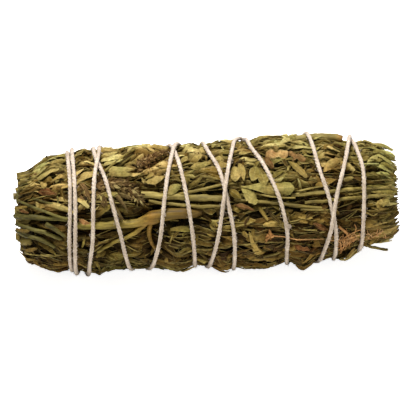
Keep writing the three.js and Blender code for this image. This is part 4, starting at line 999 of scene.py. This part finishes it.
def furrow(piece, depth):
    """Raises ridges that run along the bunch on a piece's bark, depth mm high."""
    work = bmesh.new()
    work.from_mesh(piece.data)
    work.normal_update()
    for v in work.verts:
        p = v.co / MM
        ridge = noise.noise(Vector((p.x * 0.16, p.y * 2.3, p.z * 2.3)))
        pit = noise.noise(Vector((p.x * 1.1, p.y * 1.5, p.z * 1.5 + 40)))
        v.co += v.normal * (depth * (1.6 * ridge + 0.7 * pit) * MM)
    work.to_mesh(piece.data)
    work.free()


def stalk_line(rows, step, share=1.0, lift=0.0):
    """The line of one stalk for a tube piece, raised by lift, with a share of its radii."""
    u, th, r, thick = stalk_route(rows, step)
    return place(u, th, r + lift), thick * share


def uneven(u, pace, phase, row):
    """A slow random value from about -1 to 1 at each place along a stalk."""
    return np.array([noise.noise(Vector((x * pace + phase, row, 2.0))) for x in u])


def single_stalks():
    looks = {"forked_stem": (STALK_FORKED, "stem_red"), "top_stem": (STALK_TOP, "stem_red"),
             "straight_stem": (STALK_GREY, "stem"), "slanted_stem": (STALK_GREY, "stem")}
    for name, routes in STALKS.items():
        material, slot = looks.get(name, (STALK_SHADED, "stem"))
        lines = []
        chance = random.Random(len(name) * 7 + 3)
        for rows in routes:
            u, th, r, thick = stalk_route(rows, 0.7)
            phase = chance.random() * 9
            radii = thick * (1 + 0.12 * uneven(u, 0.5, phase, 1.0))
            lines.append((place(u, th + uneven(u, 0.3, phase, 7.0) * 0.02, r), radii))
        furrow(tube_piece(name + "_bark", lines, material, (name,), sides=6), 0.10)


def fine_stalks():
    """Thin dry stalks and tendrils that lie loose on the leaves."""
    lines = []
    for rows in FINE_STALKS:
        u, th, r, thick = stalk_route(rows, 0.5)
        lines.append((place(u, th, np.minimum(r, reach(u, th, BOUND) - thick)), thick))
    furrow(tube_piece("fine_stalks", lines, STALK_SHADED), 0.04)


def flower_spike(name, count, length, seed, spread=0.5, girth=0.07):
    """Small crumpled bracts and husks round a dried flower stalk: their bed, and its random source."""
    chance = random.Random(seed)
    u, th, *_ = stalk_route(SPIKES[name], SPIKE_STEP)
    bed = LeafBed()
    for k in range(count):
        i = int(len(u) * k / count)
        j = min(i + 3, len(u) - 1)
        along = math.atan2((th[j] - th[j - 3]) * LEAF_ROUND, u[j] - u[j - 3])
        taper = 0.45 + 0.55 * math.sin(math.pi * min(1, 0.12 + 0.80 * k / count))
        side = chance.gauss(0, girth) * taper
        heading = along + chance.gauss(0, spread) + 6 * side
        size = chance.uniform(0.6, 1.3) * length * (1 - 0.45 * k / count)
        bed.leaf(u[i], th[i] + side, 0.4 + 7 * abs(side) - chance.uniform(0, 0.6), heading, size,
                 size * chance.uniform(0.13, 0.24), "lance", roll=chance.gauss(0, 0.5),
                 twist=chance.gauss(0, 0.8), fold=chance.uniform(0.3, 1.0),
                 tone=tone_near(chance, 0.64 - 0.06 * k / count, 0.3), age=max(0, chance.gauss(0.0, 0.3)),
                 steps=4, across=2, root=0.3, phase=chance.random() * 6, free=True, shade=2.4)
    return bed, chance


def finish_spike(name, bed):
    """Makes the two pieces of a dried flower: its husks and its stalk."""
    bed.finish(name + "_husks", "flower_brown", FLOWER_BROWN, (name,), 0.1)
    stalk = stalk_line(SPIKES[name], SPIKE_STEP, 0.8)
    tube_piece(name + "_stalk", [stalk], STALK_TAN, sides=3)


def curved_flower():
    """The large bent flower head, with the dry strands that hang from it."""
    name = "flower_spike_curved"
    bed, chance = flower_spike(name, 260, 2.1, 11)
    for u0, deg0, u1, deg1, half in STRANDS:
        heading, length = way(u0, deg0, u1, deg1)
        for k in range(2):
            bed.leaf(u0 + chance.gauss(0, 0.25), front(deg0), 0.3 - 0.25 * k,
                     heading + chance.gauss(0, 0.08), length, half, "lance",
                     roll=chance.gauss(0, 0.3), twist=chance.gauss(0, 0.9), fold=1.0,
                     bend=chance.gauss(0, 0.6), ripple=0.2, tone=chance.uniform(0.3, 0.75), age=0.1,
                     steps=12, across=2, root=0.3, phase=chance.random() * 6, free=True)
    finish_spike(name, bed)


def straight_flower():
    """The small straight flower head near the top, all fine husks."""
    name = "flower_spike_straight"
    bed, _ = flower_spike(name, 300, 1.1, 12, spread=0.8, girth=0.085)
    finish_spike(name, bed)


def threads(chance, count, middle, size, spread_u, spread_deg):
    """Curled threads of a dried flower round a middle point (along the bunch, degrees)."""
    lines = []
    for k in range(count):
        u = middle[0] + chance.gauss(0, spread_u)
        th = front(middle[1] + chance.gauss(0, spread_deg))
        heading = chance.uniform(-math.pi, math.pi)
        curl = chance.gauss(0, 0.5)
        step = size * chance.uniform(0.6, 1.4) / 9
        points = []
        for i in range(10):
            points.append((u, th, reach(u, th, BOUND) - 0.1 + 0.35 * math.sin(i * 0.35 + k)))
            u += step * math.cos(heading)
            th += step * math.sin(heading) / LEAF_ROUND
            heading += curl * 0.6 + chance.gauss(0, 0.25)
        radii = chance.uniform(0.08, 0.18) * np.linspace(1, 0.5, 10)
        lines.append((place(*np.array(points).T), radii))
    return lines


def orange_flowers():
    """The orange flower at the right and the small calyx further left, with their thin stalks."""
    chance = random.Random(13)
    lines = [line for row in ORANGE_THREADS for line in threads(chance, *row)]
    lines.append(stalk_line(ORANGE_STALK, 0.8))
    lines.append(stalk_line(SPIKES["orange_flower"], 0.6, 0.7))
    tube_piece("orange_threads", lines, STALK_ORANGE, ("orange_flower",), sides=1)
    bed = LeafBed()
    for k, (heading, length, half) in enumerate(CALYX_TEETH):
        bed.leaf(CALYX[0], front(CALYX[1]), 0.1, math.radians(heading + chance.gauss(0, 6)), length, half,
                 "lance", roll=chance.gauss(0, 0.4), fold=0.9, tone=chance.uniform(0.2, 0.7), age=0.0,
                 steps=6, across=2, root=0.0, phase=k, free=True)
    bed.finish("orange_star", "flower_orange", FLOWER_ORANGE, thickness=0.14)
    stalk = stalk_line(SPIKES["orange_calyx"], 0.6, 0.7, 0.4)
    tube_piece("orange_star_stalk", [stalk], STALK_ORANGE, ("orange_calyx",))


def open_leaves():
    """The large leaves that lie open on the outside, green and dead."""
    looks = [("open_leaves", OPEN_LEAVES, "leaf_green", LEAF_DRY, 21, 0.13),
             ("dead_leaves", DEAD_LEAVES, "flower_brown", LEAF_DEAD, 22, 0.42)]
    for name, rows, slot, material, seed, crumple in looks:
        chance = random.Random(seed)
        bed = LeafBed()
        for u0, deg0, u1, deg1, half, kind, tone, age in rows:
            bed.leaf(u0, front(deg0), 0.15, *way(u0, deg0, u1, deg1), half, kind,
                     roll=chance.gauss(0, 0.2), twist=chance.gauss(0, 0.35),
                     fold=chance.uniform(-0.1, 0.5), bend=chance.gauss(0, 0.2), ripple=crumple, proud=0.1,
                     tone=tone, age=age, steps=14, across=6, root=0.4, phase=deg0 * 0.1, free=True)
        bed.finish(name, slot, material, thickness=0.16)


# ---------- string
STRING_STEP = 0.55     # distance between two points of the string
TAIL_STEP = 0.4        # and of its two ends at the knot
PLIES = 3
PLY_PITCH = 3.3        # length in which a ply goes once round
PLY_OFFSET = 0.24
PLY_RADIUS = 0.33
FIBRES_PER_MM = 1.6
FIBRE_RADII = [0.035, 0.03, 0.012]
TUFT_FIBRES = 45
TUFT_RADII = [0.03, 0.05, 0.03]
KNOT_TAIL_LEFT = [(-0.5, 0.35, 0.1), (0.5, 0.7, 0), (0.9, 0.5, 0.9), (0.2, 0.5, 1.4), (-0.6, 0.7, 0.7),
                  (-1.2, 0.8, -0.4), (-2.4, 0.7, -1.6), (-3.8, 0.5, -2.6)]
KNOT_TAIL_RIGHT = [(0.4, 0.3, -0.1), (-0.6, 0.5, 0.1), (-0.8, 0.6, -0.8), (0.1, 0.8, -1.1),
                   (0.9, 0.9, -0.2), (1.7, 0.7, 0.9), (2.6, 0.6, 2.3), (3.0, 0.5, 3.9)]


def rounded(points):
    """Corner cutting, so a chain of a few points bends softly."""
    for _ in range(2):
        a = points[:-1] * 0.75 + points[1:] * 0.25
        b = points[:-1] * 0.25 + points[1:] * 0.75
        cut = np.empty((len(a) * 2, 3))
        cut[0::2] = a
        cut[1::2] = b
        points = np.concatenate([points[:1], cut, points[-1:]])
    return points


def walked(points):
    """Length of a line up to each of its points."""
    return np.concatenate([[0], np.cumsum(np.linalg.norm(np.diff(points, axis=0), axis=1))])


def resample(points, step):
    """The same line with points every step metres."""
    walk = walked(points)
    at = np.linspace(0, walk[-1], int(walk[-1] / step) + 1)
    return np.stack([np.interp(at, walk, points[:, c]) for c in range(3)], 1)


def knot_tails(first, last):
    """The string's two ends, which pass round each other between its first and its last point."""
    middle = (first + last) / 2
    out = Vector((0, middle.y - SHIFT_Y * MM, middle.z - AXIS_HEIGHT * MM)).normalized()
    side = (last - first).normalized()
    fwd = out.cross(side).normalized()
    gap = (last - first).length / 2 / MM
    routes = []
    for loop in ([(-gap, 0, 0)] + KNOT_TAIL_LEFT, [(gap, 0, 0)] + KNOT_TAIL_RIGHT):
        pts = [middle + side * a * MM + out * b * MM + fwd * c * MM for a, b, c in loop]
        routes.append(resample(rounded(np.array(pts)), TAIL_STEP * MM))
    return routes


def kept_above(points, height):
    """Lifts points that lie lower than the height in mm."""
    points[:, 2] = np.maximum(points[:, 2], height * MM)
    return points


def string_parts(pts, chance):
    """The twisted plies along one route, and the loose fibres that stand out from it."""
    along = np.gradient(pts, axis=0)
    along /= np.linalg.norm(along, axis=1)[:, None]
    outward = pts - np.array([0, SHIFT_Y * MM, AXIS_HEIGHT * MM])
    outward[:, 0] = 0
    across = np.cross(along, outward)
    across /= np.linalg.norm(across, axis=1)[:, None]
    up = np.cross(across, along)
    walk = walked(pts) / MM
    swell = 1 + 0.05 * np.sin(walk * 0.9) + 0.04 * np.sin(walk * 2.3 + 1)
    plies = []
    for ply in range(PLIES):
        angle = walk * (2 * math.pi / PLY_PITCH) + ply * 2 * math.pi / PLIES
        offset = across * np.cos(angle)[:, None] + up * np.sin(angle)[:, None]
        path = pts + offset * (PLY_OFFSET * swell * MM)[:, None]
        plies.append((kept_above(path, 0.30), PLY_RADIUS * swell))
    fibres = []
    for _ in range(int(walk[-1] * FIBRES_PER_MM)):
        i = chance.randrange(2, len(pts) - 3)
        angle = chance.uniform(0, 2 * math.pi)
        away = across[i] * math.cos(angle) + up[i] * math.sin(angle)
        length = chance.uniform(0.15, 0.75)
        run = chance.uniform(-1.2, 1.2)
        start = pts[i] + away * 0.42 * MM
        knee = start + (away * length * 0.7 + along[i] * run * 0.4) * MM
        end = knee + (away * length * 0.3 + along[i] * run * 0.6) * MM
        fibres.append((kept_above(np.array([start, knee, end]), 0.05), FIBRE_RADII))
    return plies, fibres


def any_way(chance):
    """A random direction."""
    return Vector([chance.gauss(0, 1) for _ in range(3)]).normalized()


def tuft(chance, u, deg, size):
    """A small ball of loose fibres on the string."""
    middle = place(u, front(deg), reach(u, front(deg), BOUND) + 0.9)
    fibres = []
    for _ in range(TUFT_FIBRES):
        heart = middle + np.array([chance.gauss(0, 0.3) for _ in range(3)]) * size * MM
        half = np.array(any_way(chance) * size * 0.8 * MM)
        bow = np.array(any_way(chance) * size * 0.3 * MM)
        fibres.append(([heart - half, heart + bow, heart + half], TUFT_RADII))
    return fibres


def cotton_string():
    """Three plies twisted together along the string's route, its knot and its loose fibres."""
    centre = kept_above(place(*STRING), 0.5)
    chance = random.Random(5)
    lines = []
    fuzz = []
    tails = knot_tails(Vector(centre[0]), Vector(centre[-1]))
    for pts in [resample(centre, STRING_STEP * MM)] + tails:
        plies, fibres = string_parts(pts, chance)
        lines += plies
        fuzz += fibres
    for row in TUFTS:
        fuzz += tuft(chance, *row)
    tube_piece("cotton_string", lines, COTTON, ("string",), sides=1)
    tube_piece("string_fibres", fuzz, COTTON, sides=0)


# ---------- building it
for sprig in range(OUTER_SPRIGS):
    pressed_heart(sprig)
    outer_sprig(sprig)
cut_end()
leafy_end()
stray_leaves()
single_stalks()
fine_stalks()
curved_flower()
straight_flower()
orange_flowers()
open_leaves()
cotton_string()
# the inner sprigs are coloured in the same painted shade
for name, item in NODES.items():
    if name.startswith(("inner_sprig", "middle_sprig")):
        for material_slot in item.material_slots:
            material_slot.material = LEAF_IN_PAINTED_SHADE


# ---------- table, light and camera, in metres
TABLE_HALF = 1.5
TABLE_GLOW = 0.85
LAMP_TARGET = Vector((0, 0, 0.016))
# name, place, size, power, colour
LAMPS = [("key light", (-0.12, -0.08, 0.8), (0.2, 0.2), 11.5, (1.0, 0.985, 0.96)),
         ("front light", (0.5, -0.8, 0.3), (0.5, 0.4), 2.8, (1.0, 0.985, 0.95))]
SKY_COLOR = (1.0, 0.96, 0.89, 1)
SKY_STRENGTH = 0.22
CAMERA_TARGET = Vector((0.0004, 0, 0.0155))
CAMERA_AWAY = 2.4
CAMERA_LENS = 784


def table():
    """A pale table that shows white to the camera."""
    work = bmesh.new()
    bmesh.ops.create_grid(work, x_segments=1, y_segments=1, size=TABLE_HALF)
    mesh = bpy.data.meshes.new("table")
    work.to_mesh(mesh)
    work.free()
    material, tree, shader = new_material("pale table")
    seen = tree.nodes.new("ShaderNodeLightPath").outputs["Is Camera Ray"]
    feed(tree, shader.inputs, {"Base Color": (0.9, 0.9, 0.9), "Roughness": 0.9, "Emission Color": WHITE,
                               "Emission Strength": calc(tree, "MULTIPLY", seen, TABLE_GLOW)})
    mesh.materials.append(material)
    floor = new_object("table", mesh)


def lamp(name, where, size, power, color):
    light = bpy.data.lights.new(name, "AREA")
    light.shape = "RECTANGLE"
    light.size, light.size_y = size
    light.energy = power
    light.color = color
    item = new_object(name, light)
    item.location = where
    item.rotation_euler = (LAMP_TARGET - Vector(where)).to_track_quat("-Z", "Y").to_euler()


def studio():
    """The table, the lamps, the pale surroundings and the camera that looks at the front."""
    scene = bpy.context.scene
    table()
    for row in LAMPS:
        lamp(*row)
    world = bpy.data.worlds.new("studio")
    world.use_nodes = True
    sky = world.node_tree.nodes["Background"].inputs
    sky["Color"].default_value = SKY_COLOR
    sky["Strength"].default_value = SKY_STRENGTH
    scene.world = world
    scene.view_settings.view_transform = "Standard"
    camera = bpy.data.cameras.new("camera")
    camera.lens = CAMERA_LENS
    camera.sensor_width = 36
    camera.clip_start = 0.01
    item = new_object("camera", camera)
    toward = Vector((0, -math.cos(VIEW_TURN), math.sin(VIEW_TURN)))
    level = (-toward).to_track_quat("-Z", "Y")
    item.location = CAMERA_TARGET + toward * CAMERA_AWAY
    item.rotation_euler = (level @ Quaternion((0, 0, 1), -CAMERA_ROLL)).to_euler()
    scene.camera = item


studio()

bpy.context.view_layer.update()
